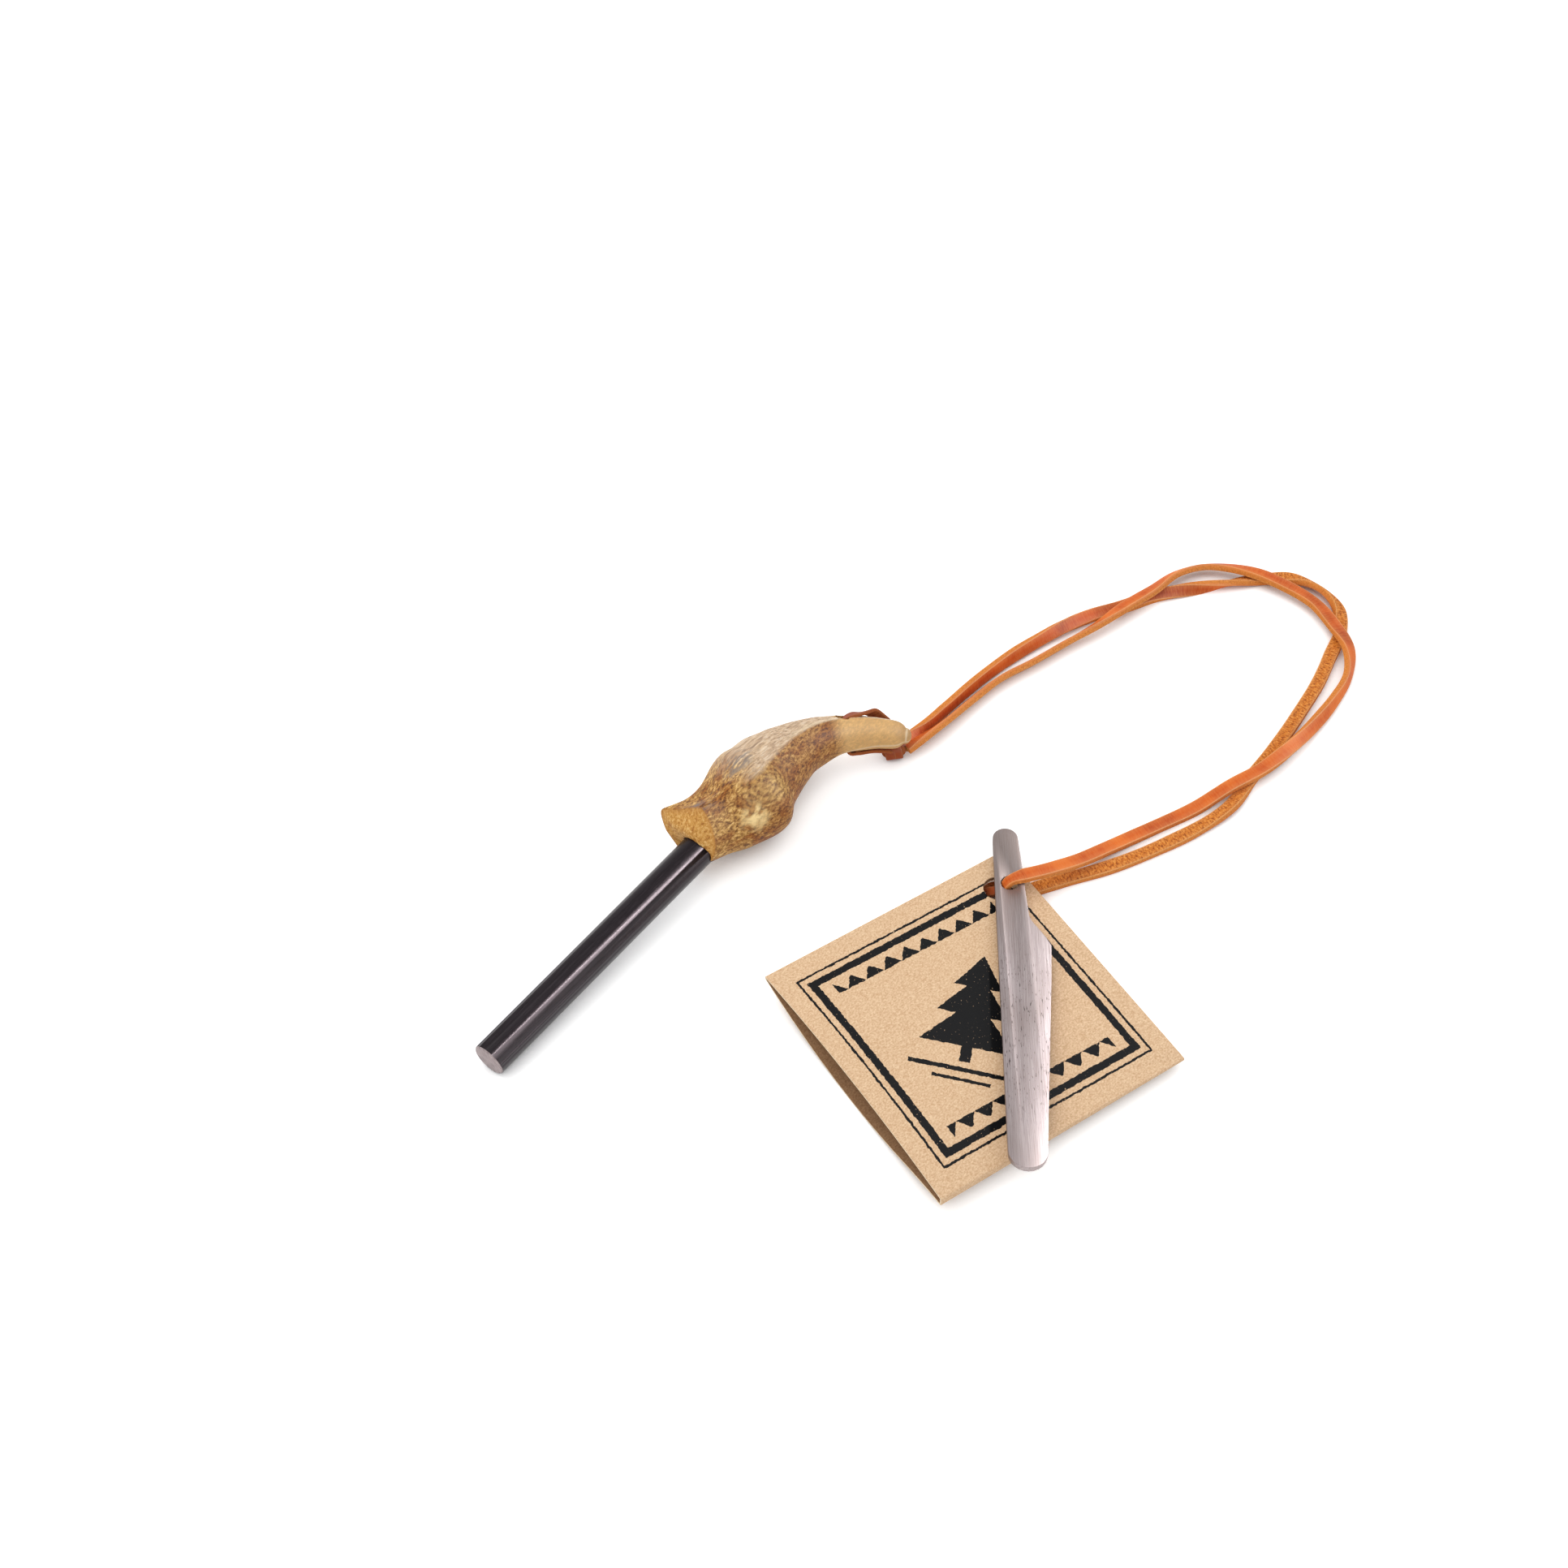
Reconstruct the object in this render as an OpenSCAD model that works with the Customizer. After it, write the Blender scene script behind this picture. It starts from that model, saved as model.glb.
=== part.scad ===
// A fire striking set: a ferrocerium rod glued in a carved wooden handle. A flat leather lace
// goes through the handle's tail, and carries a steel striker and a sleeve of folded card.
// It lies on a table, with the floor at z = 0, +X from the rod's tip towards the handle, +Z up.

/* [Fire rod] */
// Diameter of the fire rod
rod_d = 10; // [8:0.5:11]
// Length of rod in front of the handle
rod_show = 86; // [60:1:110]
// Edge break at the rod's two ends
rod_edge = 0.4; // [0.2:0.1:0.8]
// Slope of the rod as the tool lies on its tip and its handle, in degrees
rod_slope = 3.5; // [3:0.1:4]

/* [Socket] */
// Depth of the socket in the handle
socket_depth = 18; // [12:1:24]
// Thickness of the glue film round the rod
glue_film = 0.15; // [0.1:0.05:0.3]
// Thickness of the glue behind the rod
glue_pad = 1; // [0.5:0.1:2]
// How much of the rod's radius is filed off at its glued end
file_cut = 0.2; // [0.2:0.05:0.5]

/* [Handle] */
// Length of the handle along the rod
handle_l = 71; // [68:0.5:78]
// Width of the handle's belly
belly_w = 29; // [27:0.5:32]
// Height of the handle's belly
belly_h = 27; // [25:0.5:30]
// Breadth of the carved tail
tail_w = 9.5; // [8.5:0.5:11]
// Thickness of the carved tail
tail_h = 9.5; // [8:0.5:10.5]
// How far the tail bends to the side of the rod
tail_bend = 21; // [19:0.5:23]
// Height of the tail's tip above the table
tail_rise = 10.5; // [10:0.5:12]

/* [Striker] */
// Thickness of the steel plate
plate_t = 2; // [1.2:0.1:2.2]
// Diameter of the hole that the lace goes through
eye_d = 5; // [4.8:0.1:6]
// Length of the blade below its shoulder
blade_l = 68; // [50:1:75]
// How steeply the plate lies on the card, in degrees
plate_tilt = 3.4; // [3.2:0.1:4]

/* [Card] */
// Length of the card sleeve along its two folds
card_l = 81; // [70:1:84]
// Width of the card sleeve from fold to fold
card_w = 83; // [70:1:86]
// Thickness of the card
board = 0.5; // [0.3:0.05:0.6]
// How far the upper leaf bows up at the open mouth
bow_up = 2.9; // [1.5:0.1:3]
// How far the lower leaf bows down at the open mouth
bow_down = 6.7; // [5:0.1:6.7]
// Diameter of the punched hole
punch_d = 8; // [7:0.1:8.2]

/* [Lace] */
// Width of the flat lace
lace_w = 4; // [3.4:0.1:4.2]
// Thickness of the lace
lace_t = 2; // [1.4:0.1:2]

/* [Hidden] */

// Where the rod leaves the handle, in the plan of the whole set
mouth = [8, 63.6];
rod_r = rod_d / 2;
mouth_z = rod_r * cos(rod_slope) + rod_show * sin(rod_slope);
socket_r = rod_r + glue_film;
filed_r = rod_r - file_cut;
filed_show = 1;
glue_start = 3;
cut_past = 10;
fine = 64;

// The handle's stations: share of the length, side shift as a share of the tail's bend, share of the
// way down from the belly's middle to the tail's tip, share of the way from the belly's size to the
// tail's size in width and in height, lean, share of the mouth's outline, and rake of the section
stations = [
    [0.00, 0.21, 0.10, 0.41, 0.27, 0, 1.0, 20],
    [0.09, 0.105, 0.17, 0.45, 0.24, 0, 0.8, 18],
    [0.19, 0.01, 0.07, 0.30, 0.12, 0, 0.4, 10],
    [0.33, 0, 0, 0.02, 0.00, 2, 0, 0],
    [0.41, 0.055, 0.06, 0.19, 0.12, 3, 0, 0],
    [0.49, 0.076, 0.07, 0.33, 0.20, 4, 0, 0],
    [0.64, 0.02, 0.30, 0.64, 0.52, -4, 0, 0],
    [0.79, -0.21, 0.56, 0.90, 0.80, -22, 0, 0],
    [0.90, -0.533, 0.76, 1.00, 0.96, -34, 0, 0],
    [0.965, -0.82, 0.86, 1.08, 1.06, -40, 0, 0],
    [0.985, -0.924, 0.93, 1.25, 1.25, -40, 0, 0],
];
rings = 30;
sides = 24;

// The outlines of the belly and of the mouth, as shares of the half width and half height,
// from the ridge round by the near side and the bottom to the far side
outline = [
    [-0.24, 0.99],
    [-0.84, 0.60],
    [-1.02, 0.03],
    [-0.75, -0.67],
    [0.00, -1.00],
    [0.72, -0.66],
    [0.99, 0.10],
    [0.60, 0.78],
];
mouth_outline = [
    [-0.24, 0.98],
    [-0.80, 0.50],
    [-0.98, -0.05],
    [-0.72, -0.60],
    [-0.20, -0.95],
    [0.42, -0.52],
    [1.00, 0.16],
    [0.44, 0.54],
];

// The tail's own frame: +X along the tail, -Y its near side, and the lace's hole along Z
tail_at = [mouth[0] + 0.84 * handle_l, mouth[1] - 0.357 * tail_bend, 0.3 * belly_h / 2 + 0.7 * tail_rise];
tail_turn = [-38, 0, -40];
tail_hole_d = 5;
tail_hole_x = -1.5;

// The striker's hole, the plate's height under it, and the way the blade points in the plan
eye_at = [57.5, -9.8];
eye_z = 5.9;
blade_turn = 220;
top_r = 3.6;
top_y = 16.2;
shoulder_y = 21;
tip_r = 5.25;
lean_x = -0.4;
tip_x = 0.25;

// The card's middle, its turn in the plan and the heights of its folds at the mouth and the far end
card_at = [16.7, -28.5];
card_turn = -16.3;
fold_z = [7.3, 3.8];
fold_r = board + 0.1;
far_bow = [0.1, 0.4];
strips = 12;
spans = 4;
punch_at = [55.6, -7.1];

// The lace's fold through the two holes: its turn in the plan, its narrow width there, the heights
// of its two runs, and the radii of its two bends
fold_turn = -30;
fold_w = 2.7;
fold_x = -1.1;
run_z = [1, 9.4];
bend_r = [3, 2.6];

// Where the lace's two free runs lie: x, y, z and roll about the run, in degrees.
// The upper run goes from the tail to the striker's hole and passes over the lower one.
upper_route = [
    [79.5, 44.5, 2.8, -15],
    [83, 43.5, 3.2, -35],
    [87, 42.5, 3.6, -50],
    [95, 41.5, 3.2, -60],
    [106, 41, 2.4, -60],
    [118.5, 39.5, 2.4, -60],
    [130, 36, 2.4, -60],
    [141.5, 33, 2.4, -60],
    [153, 29.5, 3, -50],
    [164, 27, 4, -25],
    [175.5, 24.5, 3.6, -30],
    [186.5, 23, 2.6, -50],
    [194, 18.5, 2.4, -50],
    [198.5, 12, 2.8, -40],
    [201.5, 3.5, 3.6, -15],
    [203, -5, 3.4, -10],
    [203, -16, 3.2, -15],
    [199, -26, 3.6, -5],
    [195, -33.5, 3.2, -30],
    [187, -39, 2.4, -70],
    [175, -41.5, 2.4, -65],
    [163, -42, 2.4, -50],
    [151, -41.5, 3, -20],
    [140, -40, 3.4, 0],
    [128, -36, 3, 0],
    [117.5, -32.5, 1, 0],
    [104.5, -27.5, 1, 0],
    [91, -22.5, 1.8, 0],
    [76.5, -18.5, 5.4, 0],
    [67.5, -15.5, 8.6, 0],
    [61, -11.8, 9.4, 0],
];
lower_route = [
    [79.5, 46, 2.6, -10],
    [83.5, 46, 2.6, -30],
    [88.5, 45.5, 2.6, -50],
    [98.5, 45, 2.6, -60],
    [110.5, 44.5, 2.4, -60],
    [124, 43, 2.2, -55],
    [136, 40.5, 2.2, -55],
    [147, 37.5, 2, -35],
    [157.5, 33.5, 1.4, -15],
    [166.5, 28.5, 1, 0],
    [175.5, 24, 1, 0],
    [181.5, 19.5, 1.4, -15],
    [188, 14, 1.6, -20],
    [196.5, 7.5, 1.4, -10],
    [204, 1, 1, 0],
    [208, -4, 1.4, -10],
    [209.5, -9.5, 2, -40],
    [209.5, -16, 2.2, -50],
    [207, -22.5, 1.8, -30],
    [202.5, -26.5, 1, 0],
    [189, -31, 1, 0],
    [180, -33.5, 1, 0],
    [168, -35.5, 1, 0],
    [157, -37, 1, 0],
    [146, -38, 1, 0],
    [137, -38.5, 1, 0],
    [124.5, -40, 1.6, 20],
    [111, -37, 1.2, 5],
    [98, -32, 1, 0],
    [85, -26, 1, 0],
    [72.5, -18.5, 1, 0],
    [61, -11.8, 1, 0],
];

// The lace's turn through the tail, in the tail's frame: place, and the way that its flat side faces
hitch_t = 0.75 * lace_t;
hitch_route = [
    [[11.5, 3.6, -7.2], [0, 0.3, -0.95]],
    [[8.5, 2.2, -6.6], [0, 0.2, -0.98]],
    [[5, 1.2, -6.2], [0, 0, -1]],
    [[1, 0.8, -6.1], [0, 0, -1]],
    [[-1.2, 0.2, -5], [-0.8, 0, -0.6]],
    [[-1.5, 0, 0], [-1, 0, 0]],
    [[-1.2, 0, 5], [-0.8, 0, 0.6]],
    [[1, 0.3, 6.1], [0, 0, 1]],
    [[4, 1.2, 5.8], [0, 0.2, 0.98]],
    [[7, 3.3, 4.7], [0, 0.55, 0.83]],
    [[10, 5, 2], [0, 0.88, 0.47]],
    [[12.3, 5.2, -1.5], [0, 1, 0]],
    [[13, 5.4, -4.4], [0, 0.96, -0.28]],
    [[13, 4.6, -7], [0, 0.8, -0.6]],
];
knot_at = [76.4, 46.8, 2.7];
knot_r = 2.5;
knot_l = 7.5;

function mix(a, b, t) = a + (b - a) * t;
function unit(v) = v / norm(v);
function spline(p, q, r, s, t) =
    0.5 * (2 * q + (r - p) * t + (2 * p - 5 * q + 4 * r - s) * t * t + (3 * q - p - 3 * r + s) * t * t * t);
function at(list, i) = list[max(0, min(len(list) - 1, i))];
function around(list, i) = list[(i + len(list)) % len(list)];
function along(list, u) =
    let (i = min(len(list) - 2, floor(u)), t = u - i)
    spline(at(list, i - 1), at(list, i), at(list, i + 1), at(list, i + 2), t);
function ring_point(list, u) =
    let (i = floor(u), t = u - i)
    spline(around(list, i - 1), around(list, i), around(list, i + 1), around(list, i + 2), t);
function arc(middle, r, from, to, steps = 12) =
    [for (i = [0:steps]) let (a = mix(from, to, i / steps)) middle + r * [cos(a), sin(a)]];

// A closed skin over a row of rings, with a fan to one point at each end
module skin(sections, start, finish) {
    n = len(sections);
    m = len(sections[0]);
    points = [for (s = sections) each s, start, finish];
    wall = [for (i = [0:n - 2], k = [0:m - 1])
        each [[i * m + k, (i + 1) * m + (k + 1) % m, i * m + (k + 1) % m],
              [i * m + k, (i + 1) * m + k, (i + 1) * m + (k + 1) % m]]];
    first = [for (k = [0:m - 1]) [k, (k + 1) % m, n * m]];
    last = [for (k = [0:m - 1]) [(n - 1) * m + (k + 1) % m, (n - 1) * m + k, n * m + 1]];
    polyhedron(points, concat(wall, first, last), 4);
}

function section(u) =
    let (s = along(stations, u), d = along(stations, u + 0.02) - along(stations, u - 0.02))
    let (shift = s[1] * tail_bend, height = mix(belly_h / 2, tail_rise, s[2]))
    let (a = atan2(d[1] * tail_bend, d[0] * handle_l) * max(0, min(1, (s[0] - 0.5) / 0.25)))
    let (hw = mix(belly_w, tail_w, s[3]) / 2, hh = mix(belly_h, tail_h, s[4]) / 2)
    [for (k = [0:sides - 1])
        let (v = k * len(outline) / sides)
        let (p = mix(ring_point(outline, v), ring_point(mouth_outline, v), s[6]))
        let (q = [p[0] * hw, p[1] * hh])
        let (y = q[0] * cos(s[5]) - q[1] * sin(s[5]), z = q[0] * sin(s[5]) + q[1] * cos(s[5]))
        let (rake = max(0, height + z - mouth_z) * tan(s[7]))
        [s[0] * handle_l + rake - y * sin(a), shift + y * cos(a), height + z]];

// Puts +Z along the rod, towards the handle, with the origin in the handle's mouth
module on_rod() {
    translate([mouth[0], mouth[1], mouth_z])
        rotate([0, 90 - rod_slope, 0])
            children();
}

module in_tail() {
    translate(tail_at)
        rotate([0, 0, tail_turn[2]])
            rotate([tail_turn[0], 0, 0])
                children();
}

module handle() {
    bodies = [for (i = [0:rings]) section(i * (len(stations) - 1) / rings)];
    color("peru")
        difference() {
            translate([mouth[0], mouth[1], 0])
                skin(bodies, [0, 0, mouth_z], [handle_l, -tail_bend, tail_rise]);
            on_rod()
                translate([0, 0, -cut_past])
                    cylinder(r = socket_r, h = cut_past + socket_depth + glue_pad, $fn = fine);
            in_tail()
                translate([tail_hole_x, 0, -cut_past])
                    cylinder(d = tail_hole_d, h = 2 * cut_past, $fn = fine);
        }
}

module fire_rod() {
    far = socket_depth;
    color("dimgray")
        on_rod()
            rotate_extrude($fn = fine)
                polygon([
                    [0, -rod_show],
                    [rod_r - rod_edge, -rod_show],
                    [rod_r, rod_edge - rod_show],
                    [rod_r, -filed_show],
                    [filed_r, -filed_show],
                    [filed_r, far - rod_edge],
                    [filed_r - rod_edge, far],
                    [0, far],
                ]);
}

module rod_glue() {
    color("wheat")
        on_rod()
            difference() {
                translate([0, 0, glue_start])
                    cylinder(r = socket_r, h = socket_depth + glue_pad - glue_start, $fn = fine);
                rotate_extrude($fn = fine)
                    polygon([
                        [0, 0],
                        [filed_r, 0],
                        [filed_r, socket_depth - rod_edge],
                        [filed_r - rod_edge, socket_depth],
                        [0, socket_depth],
                    ]);
            }
}

// The plate's outline, with the hole at the origin and the blade pointing along -Y
function blade_y(share) = -shoulder_y - share * blade_l;
plate_outline = concat(
    arc([lean_x, top_y], top_r, 180, 0),
    [[4.6, -8], [4.8, -11.5], [5.5, -13.5], [9, -19]],
    arc([8.2, -shoulder_y - 1.4], 2.2, 32, 0, 6),
    [[9.7, blade_y(0.19)], [8.1, blade_y(0.5)], [6.2, blade_y(0.85)]],
    arc([tip_x, blade_y(1)], tip_r, 0, -180),
    [[-4.75, blade_y(0.5)], [-4.25, -15]]
);

// Puts the hole's axis along +Z and the plate's lower face at z = 0
module on_plate() {
    translate([eye_at[0], eye_at[1], eye_z])
        rotate([0, 0, blade_turn + 90])
            rotate([-plate_tilt, 0, 0])
                children();
}

module striker() {
    color("silver")
        on_plate()
            difference() {
                linear_extrude(plate_t)
                    polygon(plate_outline);
                translate([0, 0, -1])
                    cylinder(d = eye_d, h = plate_t + 2, $fn = fine);
            }
}

// One ring of the sleeve's section, at a share of the way from the mouth to the far end.
// inset moves it in from the folds, and half is its half height at them.
function leaf_ring(share, inset, half) =
    let (up = mix(bow_up, far_bow[0], share), down = mix(bow_down, far_bow[1], share))
    let (z = mix(fold_z[0], fold_z[1], share), wide = card_w - 2 * inset)
    concat(
        [for (i = [0:strips]) let (v = i / strips)
            [(share - 0.5) * card_l, wide * (0.5 - v), z + half + up * 4 * v * (1 - v)]],
        [for (i = [strips:-1:0]) let (v = i / strips)
            [(share - 0.5) * card_l, wide * (0.5 - v), z - half - down * 4 * v * (1 - v)]]
    );

// A tube with an open end at each side: its outer and inner skins are joined at both ends
module sleeve() {
    outer = [for (i = [0:spans]) leaf_ring(i / spans, 0, fold_r)];
    inner = [for (i = [0:spans]) leaf_ring(i / spans, board, fold_r - board)];
    m = len(outer[0]);
    n = spans + 1;
    far = spans * m;
    points = [for (s = outer) each s, for (s = inner) each s];
    skins = [for (i = [0:spans - 1], k = [0:m - 1])
        let (j = (k + 1) % m, a = i * m, b = (i + n) * m)
        each [[a + k, a + m + j, a + j], [a + k, a + m + k, a + m + j],
              [b + k, b + j, b + m + j], [b + k, b + m + j, b + m + k]]];
    rims = [for (k = [0:m - 1])
        let (j = (k + 1) % m, a = far, b = n * m)
        each [[k, j, b + j], [k, b + j, b + k],
              [a + k, a + b + j, a + j], [a + k, a + b + k, a + b + j]]];
    polyhedron(points, concat(skins, rims), 4);
}

module card() {
    color("tan")
        difference() {
            translate([card_at[0], card_at[1], 0])
                rotate([0, 0, card_turn])
                    sleeve();
            translate([punch_at[0], punch_at[1], 0])
                cylinder(d = punch_d, h = 12, $fn = fine);
        }
}

// A strip's section, 8 points round: half width a, half thickness b and cut corners
function strip_ring(p, side, face, a, b) =
    let (c = 0.4)
    [for (q = [[a, c - b], [a - c, -b], [c - a, -b], [-a, c - b],
               [-a, b - c], [c - a, b], [a - c, b], [a, b - c]])
        p + q[0] * side + q[1] * face];

// A flat strip swept along places, with the way that its flat side faces at each
module strip(places, faces, widths, thick) {
    n = len(places);
    bodies = [for (i = [0:n - 1])
        let (run = unit(at(places, i + 1) - at(places, i - 1)))
        let (side = unit(cross(run, faces[i])))
        strip_ring(places[i], side, cross(side, run), widths[i] / 2, thick / 2)];
    skin(bodies, places[0], places[n - 1]);
}

module free_run(route) {
    places = [for (r = route) [r[0], r[1], r[2]]];
    faces = [for (i = [0:len(route) - 1])
        let (run = unit(at(places, i + 1) - at(places, i - 1)))
        let (level = unit(cross([0, 0, 1], run)))
        cross(run, level) * cos(route[i][3]) - level * sin(route[i][3])];
    strip(places, faces, [for (r = route) lace_w], lace_t);
}

module lace_upper() {
    color("chocolate") free_run(upper_route);
}

module lace_lower() {
    color("chocolate") free_run(lower_route);
}

// Through the holes of the striker and the card, narrowed between two bends
module lace_fold() {
    low = [for (a = [270:-30:180]) [fold_x + bend_r[0] * (1 + cos(a)), 0, run_z[0] + bend_r[0] * (1 + sin(a))]];
    high = [for (a = [180:-30:90]) [fold_x + bend_r[1] * (1 + cos(a)), 0, run_z[1] - bend_r[1] * (1 - sin(a))]];
    places = concat([[4, 0, run_z[0]]], low, high, [[4, 0, run_z[1]]]);
    widths = [for (p = places) mix(fold_w, lace_w, max(0, p[0] - 0.5) / 3.5)];
    steps = len(places) - 1;
    faces = [for (i = [0:steps]) let (run = unit(at(places, i + 1) - at(places, i - 1))) cross(run, [0, 1, 0])];
    color("chocolate")
        translate([eye_at[0], eye_at[1], 0])
            rotate([0, 0, fold_turn])
                strip(places, faces, widths, lace_t);
}

module lace_hitch() {
    places = [for (r = hitch_route) r[0]];
    faces = [for (r = hitch_route) r[1]];
    color("chocolate")
        in_tail()
            strip(places, faces, [for (r = hitch_route) lace_w], hitch_t);
}

module lace_knot() {
    color("chocolate")
        translate(knot_at)
            rotate([0, 90, tail_turn[2]])
                rotate_extrude($fn = fine)
                    polygon(concat(
                        [[0, -knot_l / 2]],
                        arc([knot_r - 1, 1 - knot_l / 2], 1, -90, 0, 6),
                        arc([knot_r - 1, knot_l / 2 - 1], 1, 0, 90, 6),
                        [[0, knot_l / 2]]
                    ));
}

handle();
fire_rod();
rod_glue();
striker();
card();
lace_upper();
lace_lower();
lace_fold();
lace_hitch();
lace_knot();
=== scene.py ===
# %% [markdown]
# # A fire striking set
# A ferrocerium rod in a carved birch handle lies on a white table. A flat leather lace goes from
# the handle's tail to a steel striker and a sleeve of folded card. The frame brings each solid at
# its real size and place, in metres, and this lesson gives every one of them its finish.

# %% Load the frame
import bpy
import math
import numpy as np
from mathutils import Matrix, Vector, noise


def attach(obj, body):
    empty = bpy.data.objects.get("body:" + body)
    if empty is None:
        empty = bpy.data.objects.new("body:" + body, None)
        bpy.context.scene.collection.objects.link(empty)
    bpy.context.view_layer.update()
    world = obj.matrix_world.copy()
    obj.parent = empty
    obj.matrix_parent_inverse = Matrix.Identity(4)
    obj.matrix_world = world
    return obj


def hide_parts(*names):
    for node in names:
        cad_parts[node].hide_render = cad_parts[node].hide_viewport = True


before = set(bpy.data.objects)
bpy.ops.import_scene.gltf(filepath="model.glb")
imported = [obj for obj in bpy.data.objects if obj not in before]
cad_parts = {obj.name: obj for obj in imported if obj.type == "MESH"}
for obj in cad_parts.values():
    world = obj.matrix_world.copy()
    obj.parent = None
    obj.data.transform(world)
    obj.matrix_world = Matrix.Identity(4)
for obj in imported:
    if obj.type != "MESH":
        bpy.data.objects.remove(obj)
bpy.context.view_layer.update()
MM = 0.001
scene = bpy.context.scene
scene.view_settings.view_transform = "Standard"
print("solids:", sorted(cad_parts))

# %% [markdown]
# ## Camera
# The camera stands where the photograph was taken from: 53 degrees above the table, 50 degrees
# round to the left, with a lens of moderate length. It comes first, because every later choice is
# judged through it.

# %% Camera at the photograph's angle
AIM = Vector((48, 65, 0)) * MM
DISTANCE = 829 * MM
AZIMUTH = math.radians(-50)
ELEVATION = math.radians(53)
LENS = 65.22
SENSOR = 36

towards_camera = Vector((
    math.sin(AZIMUTH) * math.cos(ELEVATION),
    -math.cos(AZIMUTH) * math.cos(ELEVATION),
    math.sin(ELEVATION),
))


def deselect():
    """Operators act on all that is selected, so each step starts with nothing selected."""
    bpy.ops.object.select_all(action="DESELECT")


def aim(thing, target):
    """Turns a lamp or a camera so that it looks at a point."""
    thing.rotation_euler = (target - thing.location).to_track_quat("-Z", "Y").to_euler()


deselect()
bpy.ops.object.camera_add(location=AIM + towards_camera * DISTANCE)
camera = bpy.context.object
camera.data.lens = LENS
camera.data.sensor_width = SENSOR
aim(camera, AIM)
scene.camera = camera
print("camera at", [round(x, 3) for x in camera.location])

# %% [markdown]
# ## A node helper
# A finish is a small network of nodes. One function adds a node with its settings and its links,
# and another turns the hex colours that people read into the linear values that shaders use.

# %% Colours and nodes


def linear(code):
    """An sRGB hex colour as linear red, green, blue and alpha."""
    parts = [int(code[i:i + 2], 16) / 255 for i in (1, 3, 5)]
    return [x / 12.92 if x <= 0.04045 else ((x + 0.055) / 1.055) ** 2.4 for x in parts] + [1.0]


def add(tree, kind, sockets=(), out=None, stops=None, **given):
    """Adds a node. Small words are its settings, capital words its inputs, and a socket is linked."""
    node = tree.nodes.new("ShaderNode" + kind)
    for word in [w for w in given if w[0].islower()]:
        setattr(node, word, given.pop(word))
    shown = [s for s in node.inputs if s.enabled]
    pairs = list(zip(shown, sockets))
    pairs += [(next(s for s in shown if s.name == w.replace("_", " ")), v) for w, v in given.items()]
    for socket, value in pairs:
        if isinstance(value, bpy.types.NodeSocket):
            tree.links.new(value, socket)
        elif isinstance(value, str):
            socket.default_value = linear(value)
        else:
            socket.default_value = value
    if stops:
        elements = node.color_ramp.elements
        while len(elements) < len(stops):
            elements.new(0.5)
        for element, (place, colour) in zip(elements, stops):
            element.position = place
            element.color = linear(colour)
    results = [s for s in node.outputs if s.enabled and out in (None, s.name)]
    return results[0] if results else None


def new_material(name):
    """An empty material, and its node tree."""
    material = bpy.data.materials.new(name)
    material.use_nodes = True
    material.node_tree.nodes.clear()
    return material, material.node_tree


def millimetres(tree, size, turn=(0, 0, 0), uv=None):
    """Coordinates that grow by one over each of the three sizes, in millimetres, along the piece."""
    if uv:
        place = add(tree, "UVMap", uv_map=uv)
    else:
        place = add(tree, "TexCoord", out="Object")
    turned = add(tree, "Mapping", Vector=place, Rotation=turn)
    return add(tree, "Mapping", Vector=turned, Scale=[1 / (s * MM) for s in size])


# %% [markdown]
# ## Light
# The photograph was made in soft studio light. A large lamp hangs overhead and behind, a narrow one
# at the right draws the bright line along the rod, and a wide one low in front greys its lower side.
# The last two are only seen in gloss. The walls are white and the ceiling is dim, and the table fades
# to white. That white comes from the light path, seen by the camera and by reflections, and not
# from more light. It stops where the table is shut in, so that a gap under a piece stays dark.

# %% World, lamps and table
WORLD_LIGHT = 0.88
TABLE_WHITE = 0.85
TABLE_LIFT = 0.5
SHUT_IN = (0.32, 0.62)

world = bpy.data.worlds.new("studio")
scene.world = world
world.use_nodes = True
sky = world.node_tree
sky.nodes.clear()
camera_ray = add(sky, "LightPath", out="Is Camera Ray")
glossy_ray = add(sky, "LightPath", out="Is Glossy Ray")
through_ray = add(sky, "LightPath", out="Is Transmission Ray")
mirror_ray = add(sky, "Math", (glossy_ray, through_ray), operation="MAXIMUM")
seen = add(sky, "Math", (camera_ray, mirror_ray), operation="MAXIMUM")
strength = add(sky, "MapRange", Value=seen, To_Min=WORLD_LIGHT, To_Max=1.0)
way = add(sky, "TexCoord", out="Generated")
height = add(sky, "SeparateXYZ", Vector=way, out="Z")
ceiling = add(sky, "ValToRGB", Fac=height, stops=[(0.40, "#FFFFFF"), (0.62, "#CCCCCC")])
shown = add(sky, "Mix", data_type="RGBA", Factor=mirror_ray, A="#FFFFFF", B=ceiling)
backdrop = add(sky, "Background", Color=shown, Strength=strength)
add(sky, "OutputWorld", Surface=backdrop)


def lamp(name, place, size, power, target, gloss):
    """A rectangular studio lamp that faces its target."""
    deselect()
    bpy.ops.object.light_add(type="AREA", location=Vector(place))
    light = bpy.context.object
    light.name = name
    light.data.shape = "RECTANGLE"
    light.data.size, light.data.size_y = size
    light.data.energy = power
    light.visible_diffuse = gloss != "only"
    light.visible_glossy = gloss != "none"
    aim(light, target)
    return light


middle = Vector((60, 0, 0)) * MM
overhead = lamp("overhead lamp", (-0.05, 0.75, 1.05), (1.2, 1.2), 5.5, middle, "none")
on_rod = Vector((-40, 60, 0)) * MM
strip_at = on_rod + Vector((0.461, -0.548, 0.698)).normalized() * 1.1
strip = lamp("strip lamp", strip_at, (0.9, 0.13), 26.0, on_rod, "only")
front_at = on_rod + Vector((0.461, -0.80, 0.375)).normalized() * 1.0
front = lamp("front lamp", front_at, (0.9, 0.5), 6.0, on_rod, "only")

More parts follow.
